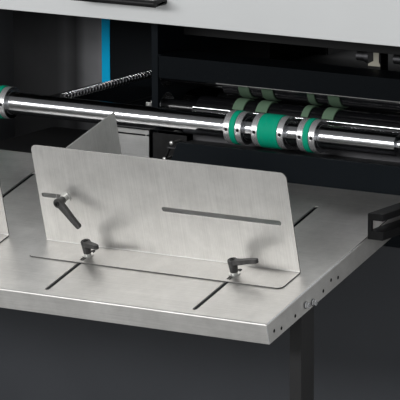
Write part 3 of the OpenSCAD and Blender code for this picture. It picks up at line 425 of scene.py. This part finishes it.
def rounded_block(bm, low, high, width, segments=2):
    """A block between two corners with rounded edges."""
    made = bmesh.ops.create_cube(bm, size=1.0)["verts"]
    low, high = Vector(low), Vector(high)
    bmesh.ops.scale(bm, vec=high - low, verts=made)
    bmesh.ops.translate(bm, vec=(low + high) / 2.0, verts=made)
    edges = list({e for v in made for e in v.link_edges})
    bmesh.ops.bevel(bm, geom=edges, offset=width, offset_type="OFFSET", segments=segments, profile=0.5,
                    affect="EDGES", clamp_overlap=True, material=-1)


def turn(bm, profile, centre, axis, steps):
    """Spins a profile of (radius, height) points around an axis through the centre."""
    axis = Vector(axis).normalized()
    side = axis.orthogonal().normalized()
    points = [bm.verts.new(Vector(centre) + side * r + axis * h) for r, h in profile]
    edges = [bm.edges.new(pair) for pair in zip(points, points[1:])]
    bmesh.ops.spin(bm, geom=points + edges, cent=centre, axis=axis, angle=2.0 * math.pi, steps=steps,
                   use_merge=True, use_duplicate=False)


def on_table(normal, centre):
    """A face's centre and normal along the table's own axes."""
    back = TABLE.inverted()
    return back @ centre, back.to_3x3() @ normal


def close(bm):
    """Merges seams and poles and turns the faces outwards."""
    bmesh.ops.remove_doubles(bm, verts=bm.verts, dist=1e-6)
    bmesh.ops.recalc_face_normals(bm, faces=bm.faces)


# ---------------------------------------------------------------- sizes and colours


class MachineSizes(bpy.types.PropertyGroup):
    """Sizes of the finishing touches."""

    sheet_edge: FloatProperty(name="Sheet edge", description="Rounding of a cut sheet edge",
                              default=0.0004, unit="LENGTH")
    plate_edge: FloatProperty(name="Plate edge", description="Rounding of a plate or beam edge",
                              default=0.0010, unit="LENGTH")
    button_edge: FloatProperty(name="Button edge", description="Rounding of the emergency stop's cap",
                               default=0.0030, unit="LENGTH")


def colour_property(name, description, default):
    return FloatVectorProperty(name=name, description=description, default=default, size=3, min=0.0, max=1.0,
                               subtype="COLOR")


class MachineColours(bpy.types.PropertyGroup):
    """Colours of the finishes."""

    stainless: colour_property("Stainless", "Brushed sheet of table, fences and guides", (0.62, 0.61, 0.59))
    navy: colour_property("Frame paint", "Beams, middle plate and right side plate", (0.0045, 0.0066, 0.0088))
    charcoal: colour_property("Housing paint", "Housings, doors, base, rear panel and legs", (0.019, 0.019, 0.0195))
    cover: colour_property("Cover paint", "Hinged hood", (0.58, 0.59, 0.59))
    panel: colour_property("Inner panel", "Palest tone of the inner wall of the bay", (0.25, 0.252, 0.265))
    trim: colour_property("Trim", "Stripe along the inner wall", (0.0, 0.56, 1.0))
    chrome: colour_property("Polished steel", "Shaft, counter roller, bearings, bolts", (0.72, 0.73, 0.75))
    black: colour_property("Black coat", "Brackets, feet, knife holders, hood handle", (0.007, 0.007, 0.0075))
    lever: colour_property("Lever coat", "Clamp levers", (0.040, 0.039, 0.038))
    green: colour_property("Drive rubber", "Rings and rollers on the shaft", (0.0, 0.34, 0.20))
    pale: colour_property("Band rubber", "Bands on the nip rollers", (0.115, 0.185, 0.12))


class MachineSettings(bpy.types.PropertyGroup):
    """Everything a user would change."""

    sizes: PointerProperty(type=MachineSizes)
    colours: PointerProperty(type=MachineColours)


# ---------------------------------------------------------------- operators


class MACHINE_OT_stage(bpy.types.Operator):
    """Floor, soft lights and the camera"""

    bl_idname = "machine.stage"
    bl_label = "Stage"

    def execute(self, context):
        scene = context.scene
        scene.view_settings.view_transform = "Standard"
        bm = bmesh.new()
        bmesh.ops.create_grid(bm, x_segments=1, y_segments=1, size=FLOOR_HALF)
        mesh = bpy.data.meshes.new("floor")
        bm.to_mesh(mesh)
        bm.free()
        floor = bpy.data.objects.new("floor", mesh)
        scene.collection.objects.link(floor)
        paint = Finish("floor_paint", {"Base Color": (0.50, 0.50, 0.495, 1.0), "Roughness": 0.7,
                                       "Specular IOR Level": 0.1})
        mesh.materials.append(paint.material)
        for lamp in LAMPS:
            self.soft_lamp(scene, *lamp)
        self.world(scene)
        self.camera(scene)
        return {"FINISHED"}

    @staticmethod
    def soft_lamp(scene, name, place, target, width, height, power):
        """Rectangular soft lamp, aimed at its target."""
        lamp = bpy.data.lights.new(name, "AREA")
        lamp.shape = "RECTANGLE"
        lamp.size = width
        lamp.size_y = height
        lamp.energy = power
        made = bpy.data.objects.new(name, lamp)
        made.location = place
        made.visible_camera = False
        made.rotation_euler = (Vector(target) - Vector(place)).to_track_quat("-Z", "Y").to_euler()
        scene.collection.objects.link(made)

    @staticmethod
    def world(scene):
        """Pale studio. Steel mirrors a bright band low in front and a bright wall behind, the camera sees near white
        and diffuse light is even."""
        world = bpy.data.worlds.new("studio")
        world.use_nodes = True
        n = Nodes(world.node_tree)
        back = world.node_tree.nodes["Background"]
        back.inputs["Color"].default_value = (0.97, 0.985, 1.0, 1.0)
        way = n.node("ShaderNodeTexCoord", output="Generated")
        height = n.axis(way, "Z")
        front = 0.80 - n.step(height, 0.08, 0.24) * 0.68
        rear = 0.66 - n.step(height, 0.70, 0.92) * 0.48
        mirrored = front + (rear - front) * n.step(n.axis(way, "Y"), -0.2, 0.3)
        camera = n.node("ShaderNodeLightPath", output="Is Camera Ray")
        diffuse = n.node("ShaderNodeLightPath", output="Is Diffuse Ray")
        n.feed(back.inputs["Strength"], mirrored * (1.0 - camera - diffuse) + camera * 0.95 + diffuse * 0.5)
        scene.world = world

    @staticmethod
    def camera(scene):
        """Long lens from the front right, looking down a little."""
        lens = bpy.data.cameras.new("camera")
        lens.sensor_width = CAMERA_SENSOR
        lens.lens = CAMERA_LENS
        eye = bpy.data.objects.new("camera", lens)
        turned = (Matrix.Rotation(math.radians(CAMERA_HEADING), 4, "Z")
                  @ Matrix.Rotation(math.radians(CAMERA_PITCH), 4, "X")
                  @ Matrix.Rotation(math.radians(CAMERA_ROLL), 4, "Z"))
        eye.matrix_world = Matrix.Translation(CAMERA_PLACE) @ turned
        scene.collection.objects.link(eye)
        scene.camera = eye


class MACHINE_OT_sheets(bpy.types.Operator):
    """Brushed table, fences, guides, chute and infeed table"""

    bl_idname = "machine.sheets"
    bl_label = "Stainless sheets"

    def execute(self, context):
        edge = context.scene.machine.sizes.sheet_edge
        softened("delivery_table", "stainless", edge)
        softened("infeed_table", "feed_coat", edge)
        softened("chute_plate", "chute_steel", edge)
        softened("guide_plate", "dull_steel", edge)
        self.guide_lip()
        for side in ("right", "left"):
            fence = softened(side + "_fence", "stainless_upright", edge)
            # The fence's cut edges are darkened: a painted dark reflection.
            two_tone(fence, "cut_edge", self.on_cut_edge)
            # Walls of the foot slots get the black coat: painted shade.
            two_tone(fence, "screw_black", self.in_foot_slot)
            guide = softened(side + "_side_guide", "guide_steel", edge)
            two_tone(guide, "cut_edge", lambda normal, centre: abs(normal.x) < 0.3)
        self.lip_hole_shades()
        self.seams()
        self.feed_guide()
        return {"FINISHED"}

    @staticmethod
    def on_cut_edge(normal, centre):
        """Sheared edges of a fence: its ends, the top of its face, the front of its foot and the slots."""
        local, square = on_table(normal, centre)
        at_end = abs(square.x) > 0.6
        on_top = square.z > 0.6 and local.z > 0.19
        at_front = square.y < -0.6 and local.y < 0.135
        in_slot = abs(square.z) > 0.6 and 0.08 < local.z < 0.12
        return at_end or on_top or at_front or in_slot

    @staticmethod
    def in_foot_slot(normal, centre):
        """Walls of the slots in the foot of a fence. They get the black coat as painted shade in the slots."""
        local, square = on_table(normal, centre)
        in_sheet = local.z < 0.0022 and abs(square.z) < 0.5
        in_foot = 0.1345 < local.y < 0.190 and abs(abs(local.x) - FENCE_X) < 0.270
        return in_sheet and in_foot

    @staticmethod
    def lip_hole_shades():
        """Black discs sunk in the holes of the side lips: painted shade in the holes."""
        hole_shade = ((0.0, -0.0030), (0.0034, -0.0030), (0.0034, -0.0007), (0.0031, -0.0004), (0.0028, -0.0013),
                (0.0, -0.0018))
        bm = bmesh.new()
        for y, z in LIP_HOLES:
            for side in (-1.0, 1.0):
                turn(bm, hole_shade, TABLE @ Vector((side * TABLE_HALF, y, z)), (side, 0.0, 0.0), 20)
        close(bm)
        piece("lip_hole_shades", bm, "screw_black", "frame", "black_metal")

    @staticmethod
    def feed_guide():
        """Thin black edge guide along the left side of the infeed table, with a flange behind the rear panel."""
        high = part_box("infeed_table")[1]
        left, right, front = 0.0277, 0.0297, 0.4020
        foot, middle, top = high.z - 0.0005, high.z + 0.016, high.z + 0.032
        edge = 0.0004
        screw = ((0.0, -0.0004), (0.0040, -0.0004), (0.0040, 0.0004), (0.0030, 0.0016), (0.0, 0.0020))
        bm = bmesh.new()
        rounded_block(bm, (left, front, foot), (right, high.y - 0.02, top), edge)
        rounded_block(bm, (0.0180, front, foot), (0.0290, 0.4036, top), edge)
        for y in (0.46, 0.60, 0.74):
            turn(bm, screw, (left, y, middle), (-1.0, 0.0, 0.0), 18)
        close(bm)
        piece("feed_guide", bm, "black_metal", "frame", "black_metal")

    @staticmethod
    def seams():
        """Polished edges where the side lips are folded down, and the ground weld at each front corner."""
        fold, weld = 0.6417, 0.6427
        bm = bmesh.new()
        for side in (-1.0, 1.0):
            for start, end in (((side * fold, 0.004, -0.0011), (side * fold, 0.538, -0.0011)),
                               ((side * weld, 0.0004, -0.0035), (side * weld, 0.0004, -0.0390))):
                start, end = TABLE @ Vector(start), TABLE @ Vector(end)
                long = (end - start).length
                bead = ((0.0, 0.0), (0.0005, 0.0), (0.0007, 0.004), (0.0007, long - 0.004), (0.0005, long),
                        (0.0, long))
                turn(bm, bead, start, end - start, 12)
        close(bm)
        piece("table_seams", bm, "polished_steel", "frame", "stainless")

    @staticmethod
    def guide_lip():
        """Bright rolled edge along the top of the guide plate."""
        low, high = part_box("guide_plate")
        radius, inset = 0.0036, 0.002
        long = high.x - low.x - 2.0 * inset
        bm = bmesh.new()
        turn(bm, ((0.0, 0.0), (radius, 0.0), (radius, long), (0.0, long)),
             (low.x + inset, high.y - 0.0024, high.z - radius), (1.0, 0.0, 0.0), 24)
        close(bm)
        piece("guide_lip", bm, "polished_steel", "frame", "polished_steel")


class MACHINE_OT_frame(bpy.types.Operator):
    """Painted plates, beams, panels, base, legs and brackets"""

    bl_idname = "machine.frame"
    bl_label = "Painted frame"

    def execute(self, context):
        sizes = context.scene.machine.sizes
        for node in ("right_side_plate", "middle_plate", "lower_beam"):
            softened(node, "navy_paint", sizes.plate_edge)
        # The upper beam gets the darkened frame paint: painted shade.
        softened("upper_beam", "beam_paint", sizes.plate_edge)
        plate = softened("left_side_plate", "plate_paint", sizes.plate_edge)
        two_tone(plate, "front_paint", lambda normal, centre: abs(normal.y) > 0.5 or normal.z > 0.5)
        softened("table_legs", "charcoal_paint", sizes.plate_edge)
        softened("front_panel", "front_paint", sizes.plate_edge)
        softened("bay_shelf", "black_gloss", sizes.sheet_edge)
        for node in ("base_frame", "rear_panel", "bay_floor", "left_housing", "right_housing", "hood_hinges"):
            softened(node, "charcoal_paint", sizes.plate_edge)
        softened("inner_panel", "grey_panel", sizes.sheet_edge)
        softened("panel_trim", "blue_trim", sizes.sheet_edge)
        self.panel_screws()
        self.beam_strip()
        self.stay()
        self.bay_angle()
        for node in ("table_brackets", "levelling_feet"):
            softened(node, "black_metal", 0.0022, 3)
        return {"FINISHED"}

    @staticmethod
    def panel_screws():
        """Black button-head screws along the edges of the rear and housing sheets."""
        rows, inset, margin = 5, 0.016, 0.05
        screw = ((0.0, -0.0005), (0.0048, -0.0005), (0.0048, 0.0004), (0.0040, 0.0018), (0.0024, 0.0025),
                 (0.0021, 0.0025), (0.0019, 0.0012), (0.0, 0.0012))
        bm = bmesh.new()
        for node, way in (("rear_panel", 1.0), ("left_housing", 1.0), ("left_housing", -1.0), ("right_housing", 1.0),
                          ("right_housing", -1.0)):
            low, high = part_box(node)
            face = high.y if way > 0.0 else low.y
            for row in range(rows):
                z = low.z + margin + (high.z - low.z - 2.0 * margin) * row / (rows - 1)
                for x in (low.x + inset, high.x - inset):
                    turn(bm, screw, (x, face, z), (0.0, way, 0.0), 20)
        close(bm)
        piece("panel_screws", bm, "screw_black", "frame", "black_metal")

    @staticmethod
    def beam_strip():
        """Ground steel strip along the lower edge of the upper beam."""
        low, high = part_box("upper_beam")
        left, right = 0.150, high.x - 0.004
        bm = bmesh.new()
        rounded_block(bm, (left, low.y - 0.0008, low.z), (right, low.y + 0.0006, low.z + 0.0011), 0.0003, 1)
        close(bm)
        piece("beam_strip", bm, "zinc", "frame", "stainless")

    @staticmethod
    def stay():
        """Short stay with two bright pins on a black plate beside the middle plate."""
        front, rear = -0.2340, -0.2310
        high, low = Vector((0.070, -0.262, 0.939)), Vector((0.054, -0.262, 0.906))
        way = high - low
        long = way.length
        rod = ((0.0, -0.004), (0.0030, -0.003), (0.0034, 0.0), (0.0026, 0.004), (0.0026, long - 0.004),
               (0.0034, long), (0.0030, long + 0.003), (0.0, long + 0.004))
        bm = bmesh.new()
        rounded_block(bm, (0.0075, front, 0.880), (0.086, rear, 0.950), 0.0006)
        turn(bm, rod, low, way, 16)
        close(bm)
        piece("stay", bm, "black_metal", "frame", "black_metal")
        pin = ((0.0, 0.0), (0.0026, 0.0), (0.0026, 0.0270), (0.0042, 0.0272), (0.0046, 0.0280), (0.0044, 0.0310),
               (0.0030, 0.0322), (0.0, 0.0326))
        bm = bmesh.new()
        for end in (high, low):
            turn(bm, pin, (end.x, front, end.z), (0.0, -1.0, 0.0), 20)
        close(bm)
        piece("stay_pins", bm, "zinc", "frame", "polished_steel")

    @staticmethod
    def bay_angle():
        """Small bright angle screwed to the left face of the middle plate."""
        right, front, foot, edge = -0.0075, -0.2140, 0.992, 0.0004
        screw = ((0.0, 0.0), (0.0034, 0.0), (0.0034, 0.0012), (0.0024, 0.0024), (0.0, 0.0028))
        bm = bmesh.new()
        rounded_block(bm, (-0.0095, front, foot), (right, -0.1900, 1.007), edge)
        rounded_block(bm, (-0.0210, front, foot), (right, -0.2120, 1.004), edge)
        turn(bm, screw, (-0.0150, front, 0.998), (0.0, -1.0, 0.0), 18)
        close(bm)
        piece("bay_angle", bm, "zinc", "frame", "polished_steel")


class MACHINE_OT_covers(bpy.types.Operator):
    """Hood with its handle, the two doors, and the control box with its buttons"""

    bl_idname = "machine.covers"
    bl_label = "Covers"

    def execute(self, context):
        sizes = context.scene.machine.sizes
        hood = softened("hood", "cover_paint", sizes.plate_edge)
        # Downward faces of the hood above this height get the near-black coat: painted shade inside the hood.
        shaded_underside_z = 1.25
        two_tone(hood, "feed_coat", lambda normal, centre: normal.z < -0.6 and centre.z > shaded_underside_z)
        softened("hood_handle", "black_metal", sizes.sheet_edge)
        for node in ("left_door", "right_door", "control_box"):
            softened(node, "charcoal_paint", sizes.plate_edge)
        self.bezels()
        softened("start_button", "green_button", sizes.plate_edge)
        softened("stop_button", "red_button", sizes.plate_edge)
        softened("emergency_stop", "red_button", sizes.button_edge, 3)
        return {"FINISHED"}

    @staticmethod
    def on_box_front(low, high):
        """The middle of a button's box, moved onto the sloping front of the control box."""
        middle = (low + high) / 2.0
        return middle - BOX_FACING * (BOX_FACING.dot(middle) - BOX_FACE)

    def bezels(self):
        """Rings round two buttons, and the yellow plate under the emergency stop."""
        ring = ((0.0113, 0.0), (0.0148, 0.0), (0.0148, 0.0012), (0.0138, 0.0026), (0.0120, 0.0028), (0.0113, 0.0022),
                (0.0113, 0.0))
        plate = ((0.0068, 0.0), (0.0215, 0.0), (0.0215, 0.0010), (0.0207, 0.0018), (0.0068, 0.0018), (0.0068, 0.0))
        bm = bmesh.new()
        for node in ("start_button", "stop_button"):
            low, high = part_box(node)
            turn(bm, ring, self.on_box_front(low, high), BOX_FACING, 40)
        close(bm)
        piece("button_bezels", bm, "zinc", "frame", "polished_steel")
        low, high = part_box("emergency_stop")
        bm = bmesh.new()
        turn(bm, plate, self.on_box_front(low, high), BOX_FACING, 48)
        close(bm)
        piece("stop_plate", bm, "yellow_plastic", "frame", "red_button")


class MACHINE_OT_shaft(bpy.types.Operator):
    """Delivery shaft with its collars, rings and rollers"""

    bl_idname = "machine.shaft"
    bl_label = "Delivery shaft"

    def execute(self, context):
        sizes = context.scene.machine.sizes
        softened("delivery_shaft", "polished_steel", sizes.plate_edge)
        collars = softened("shaft_collars", "collar_steel", 0.0014, 3)
        two_tone(collars, "polished_steel", lambda normal, centre: abs(normal.x) > 0.8)
        for node in ("drive_rings", "drive_rollers"):
            softened(node, "green_rubber", sizes.plate_edge)
        self.set_screws()
        return {"FINISHED"}

    @staticmethod
    def set_screws():
        """Black socket screws sunk in the collars."""
        screw = ((0.0, 0.0225), (0.0029, 0.0225), (0.0029, 0.0292), (0.0025, 0.0296), (0.0015, 0.0296),
                 (0.0014, 0.0262), (0.0, 0.0262))
        bm = bmesh.new()
        for centre, width in RING_SETS:
            for side in (-1.0, 1.0):
                x = centre + side * (width + COLLAR_WIDTH) / 2.0
                turn(bm, screw, (x, SHAFT_Y, SHAFT_Z), (0.0, -1.0, 0.0), 18)
        close(bm)
        piece("collar_screws", bm, "screw_black", "delivery_shaft", "black_metal")


class MACHINE_OT_rollers(bpy.types.Operator):
    """Nip rollers with their bands, the counter roller, the bearings and the ribbed rod"""

    bl_idname = "machine.rollers"
    bl_label = "Rollers"

    def execute(self, context):
        sizes = context.scene.machine.sizes
        for node in ("lower_nip_roller", "upper_nip_roller"):
            softened(node, "dark_roller", sizes.plate_edge)
        softened("lower_nip_bands", "pale_rubber", sizes.plate_edge)
        softened("upper_nip_bands", "shaded_rubber", sizes.plate_edge)
        for node in ("counter_roller", "shaft_bearings"):
            softened(node, "polished_steel", sizes.sheet_edge)
        rail_top = 0.9850
        rod = softened("ribbed_rod", "polished_steel", sizes.sheet_edge)
        two_tone(rod, "black_metal", lambda normal, centre: centre.z < rail_top)
        return {"FINISHED"}


class MACHINE_OT_levers(bpy.types.Operator):
    """Clamp levers of the fences, with their washers, studs and nuts"""

    bl_idname = "machine.levers"
    bl_label = "Clamp levers"

    def execute(self, context):
        foot = Matrix.Identity(4)
        face = Matrix.Rotation(math.radians(90.0), 4, "X")
        spread = 0.160
        for side, middle in (("right", FENCE_X), ("left", -FENCE_X)):
            inward = -spread if side == "right" else spread
            for place, x, y, z, stand, stud, neck in (
                    ("outer", middle - inward, 0.162, 0.0023, foot, 0.0176, 0.0050),
                    ("inner", middle + inward, 0.162, 0.0023, foot, 0.0176, 0.0050),
                    ("face", middle - 0.216, 0.200, 0.0973, face, 0.0143, 0.0105)):
                angle = -38.0 if place == "face" else (-10.0 if x > middle else -36.0)
                where = TABLE @ Matrix.Translation((x, y, z)) @ stand @ Matrix.Rotation(math.radians(angle), 4, "Z")
                self.lever(f"{side}_{place}_lever", where, stud, neck)
            softened(side + "_clamp_nuts", "zinc", 0.0005)
        return {"FINISHED"}

    def lever(self, node, where, stud, neck):
        """Grip with its arm, stud with its washer and collar, and the cap screw.

        The stud reaches that far below the washer, and the grip starts at the height of the neck."""
        grip = ((0.0, neck), (0.0070, neck), (0.0074, neck + 0.0006), (0.0086, 0.0200), (0.0094, 0.0255),
                (0.0095, 0.0285), (0.0086, 0.0300), (0.0066, 0.0303), (0.0062, 0.0294), (0.0, 0.0294))
        washer = ((0.0, -stud), (0.0034, -stud), (0.0040, 0.0006 - stud), (0.0040, 0.0001), (0.0106, 0.0001),
                  (0.0110, 0.0005), (0.0110, 0.0016), (0.0106, 0.0020), (0.0066, 0.0020), (0.0066, neck), (0.0, neck))
        screw = ((0.0, 0.0290), (0.0048, 0.0290), (0.0048, 0.0308), (0.0042, 0.0315), (0.0027, 0.0315),
                 (0.0025, 0.0296), (0.0, 0.0296))
        for part, profile, steps, finish_name, slot, replaced, crease in (
                ("grip", grip, 40, "lever_coat", "black_metal", (node,), 40.0),
                ("washer", washer, 40, "zinc", "polished_steel", (), 35.0),
                ("screw", screw, 24, "screw_black", "black_metal", (), 35.0)):
            bm = bmesh.new()
            if part == "grip":
                self.arm(bm)
            turn(bm, profile, (0.0, 0.0, 0.0), (0.0, 0.0, 1.0), steps)
            close(bm)
            bmesh.ops.transform(bm, matrix=where, verts=bm.verts)
            piece(f"{node}_{part}", bm, finish_name, BODY_OF[node], slot, *replaced, crease=crease)

    @staticmethod
    def arm(bm):
        """Tapered arm that rises from the hub to a rounded tip."""
        width, thick, height, lift = 0.0150, 0.0100, 0.0248, 0.0142
        made = bmesh.ops.create_cube(bm, size=1.0)["verts"]
        bmesh.ops.translate(bm, vec=(0.5, 0.0, 0.0), verts=made)
        bmesh.ops.scale(bm, vec=(LEVER_ARM, width, thick), verts=made)
        long = [e for e in bm.edges if abs(e.verts[0].co.x - e.verts[1].co.x) > 0.01]
        bmesh.ops.subdivide_edges(bm, edges=long, cuts=9, use_grid_fill=True)
        for v in bm.verts:
            along = v.co.x / LEVER_ARM
            rise = along * along * (3.0 - 2.0 * along) * 0.5 + along * 0.5
            v.co.y *= 1.0 - 0.36 * along
            v.co.z = v.co.z * (1.0 - 0.10 * along) + height + lift * rise
        bm.normal_update()
        tip = [e for e in bm.edges if min(v.co.x for v in e.verts) > LEVER_ARM - 0.0001
               and abs(e.verts[0].co.z - e.verts[1].co.z) > 0.004]
        bmesh.ops.bevel(bm, geom=tip, offset=0.0042, offset_type="OFFSET", segments=5, profile=0.5, affect="EDGES",
                        clamp_overlap=True, material=-1)
        broad = [f for f in bm.faces if abs(f.normal.z) > 0.85 and min(v.co.x for v in f.verts) > 0.008]
        bmesh.ops.inset_region(bm, faces=broad, thickness=0.0024, depth=-0.0007, use_even_offset=True,
                               use_boundary=True)
        soften(bm, 0.0016, 3, 60.0)


class MACHINE_OT_drive(bpy.types.Operator):
    """Table bolts, knives with their holders, motor, pulley and belt"""

    bl_idname = "machine.drive"
    bl_label = "Knives and drive"

    def execute(self, context):
        head_x = 0.6446
        bolts = softened("table_bolts", "polished_steel", 0.0008)
        # The bolts' faces inboard of their heads get the black coat: painted shade around the bright heads.
        two_tone(bolts, "screw_black", lambda normal, centre: abs(centre.x) < head_x)
        self.sockets()
        softened("knife_beam", "charcoal_paint", 0.001)
        holders = softened("knife_holders", "black_metal", 0.0008)
        two_tone(holders, "dull_steel", self.on_knob)
        self.holder_plates()
        softened("grooving_knives", "tool_steel", 0.0003)
        softened("motor_pulley", "tool_steel", 0.0005)
        softened("drive_motor", "motor_paint", 0.0008)
        softened("drive_belt", "belt_rubber", 0.0008)
        return {"FINISHED"}

    @staticmethod
    def sockets():
        """Black shallow disc set in the head of each table bolt: painted shade of its socket."""
        low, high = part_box("table_bolts")
        recess = ((0.0, -0.0006), (0.0026, -0.0006), (0.0027, 0.0002), (0.0022, 0.0003), (0.0018, -0.0003),
                  (0.0, -0.0003))
        radius = 0.007
        bm = bmesh.new()
        for side, x in ((-1.0, low.x), (1.0, high.x)):
            for y in (low.y + radius, high.y - radius):
                turn(bm, recess, (x, y, (low.z + high.z) / 2.0), (side, 0.0, 0.0), 18)
        close(bm)
        piece("bolt_socket_shades", bm, "screw_black", "frame", "black_metal")

    @staticmethod
    def on_knob(normal, centre):
        """The knobs left of the two knife holders."""
        long = 0.030
        ends = (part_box("knife_holders")[0].x + long, 0.5015)
        return any(x - long < centre.x < x + 0.0004 for x in ends)

    @staticmethod
    def holder_plates():
        """Pale flared plate on the front of each knife holder."""
        outline = ((-0.0125, 1.1000), (0.0146, 1.1000), (0.0146, 1.1035), (0.0115, 1.1085), (0.0115, 1.1650),
                   (-0.0005, 1.1650), (-0.0005, 1.1100), (-0.0125, 1.1040))
        front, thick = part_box("knife_holders")[0].y, 0.0016
        bm = bmesh.new()
        for middle in (0.4345, 0.5165):
            face = bm.faces.new([bm.verts.new((middle + x, front, z)) for x, z in outline])
            grown = bmesh.ops.extrude_face_region(bm, geom=[face])["geom"]
            moved = [g for g in grown if isinstance(g, bmesh.types.BMVert)]
            bmesh.ops.translate(bm, vec=(0.0, -thick, 0.0), verts=moved)
        close(bm)
        soften(bm, 0.0004)
        piece("holder_plates", bm, "pale_plate", "frame", SLOT_OF["knife_holders"])


class MACHINE_PT_panel(bpy.types.Panel):
    """Lists the pieces and their settings"""

    bl_label = "Grooving machine"
    bl_idname = "MACHINE_PT_panel"
    bl_space_type = "VIEW_3D"
    bl_region_type = "UI"
    bl_category = "Grooving machine"

    def draw(self, context):
        settings = context.scene.machine
        for group in (settings.sizes, settings.colours):
            box = self.layout.box()
            for name in group.bl_rna.properties.keys():
                if name not in ("rna_type", "name"):
                    box.prop(group, name)
        for operator in OPERATORS:
            self.layout.operator(operator.bl_idname)


OPERATORS = (MACHINE_OT_stage, MACHINE_OT_sheets, MACHINE_OT_frame, MACHINE_OT_covers, MACHINE_OT_shaft,
             MACHINE_OT_rollers, MACHINE_OT_levers, MACHINE_OT_drive)
CLASSES = (MachineSizes, MachineColours, MachineSettings) + OPERATORS + (MACHINE_PT_panel,)


def register():
    for cls in CLASSES:
        bpy.utils.register_class(cls)
    bpy.types.Scene.machine = PointerProperty(type=MachineSettings)


def unregister():
    del bpy.types.Scene.machine
    for cls in reversed(CLASSES):
        bpy.utils.unregister_class(cls)


def main():
    register()
    bpy.ops.machine.stage()
    bpy.ops.machine.sheets()
    bpy.ops.machine.frame()
    bpy.ops.machine.covers()
    bpy.ops.machine.shaft()
    bpy.ops.machine.rollers()
    bpy.ops.machine.levers()
    bpy.ops.machine.drive()


if __name__ == "__main__":
    main()
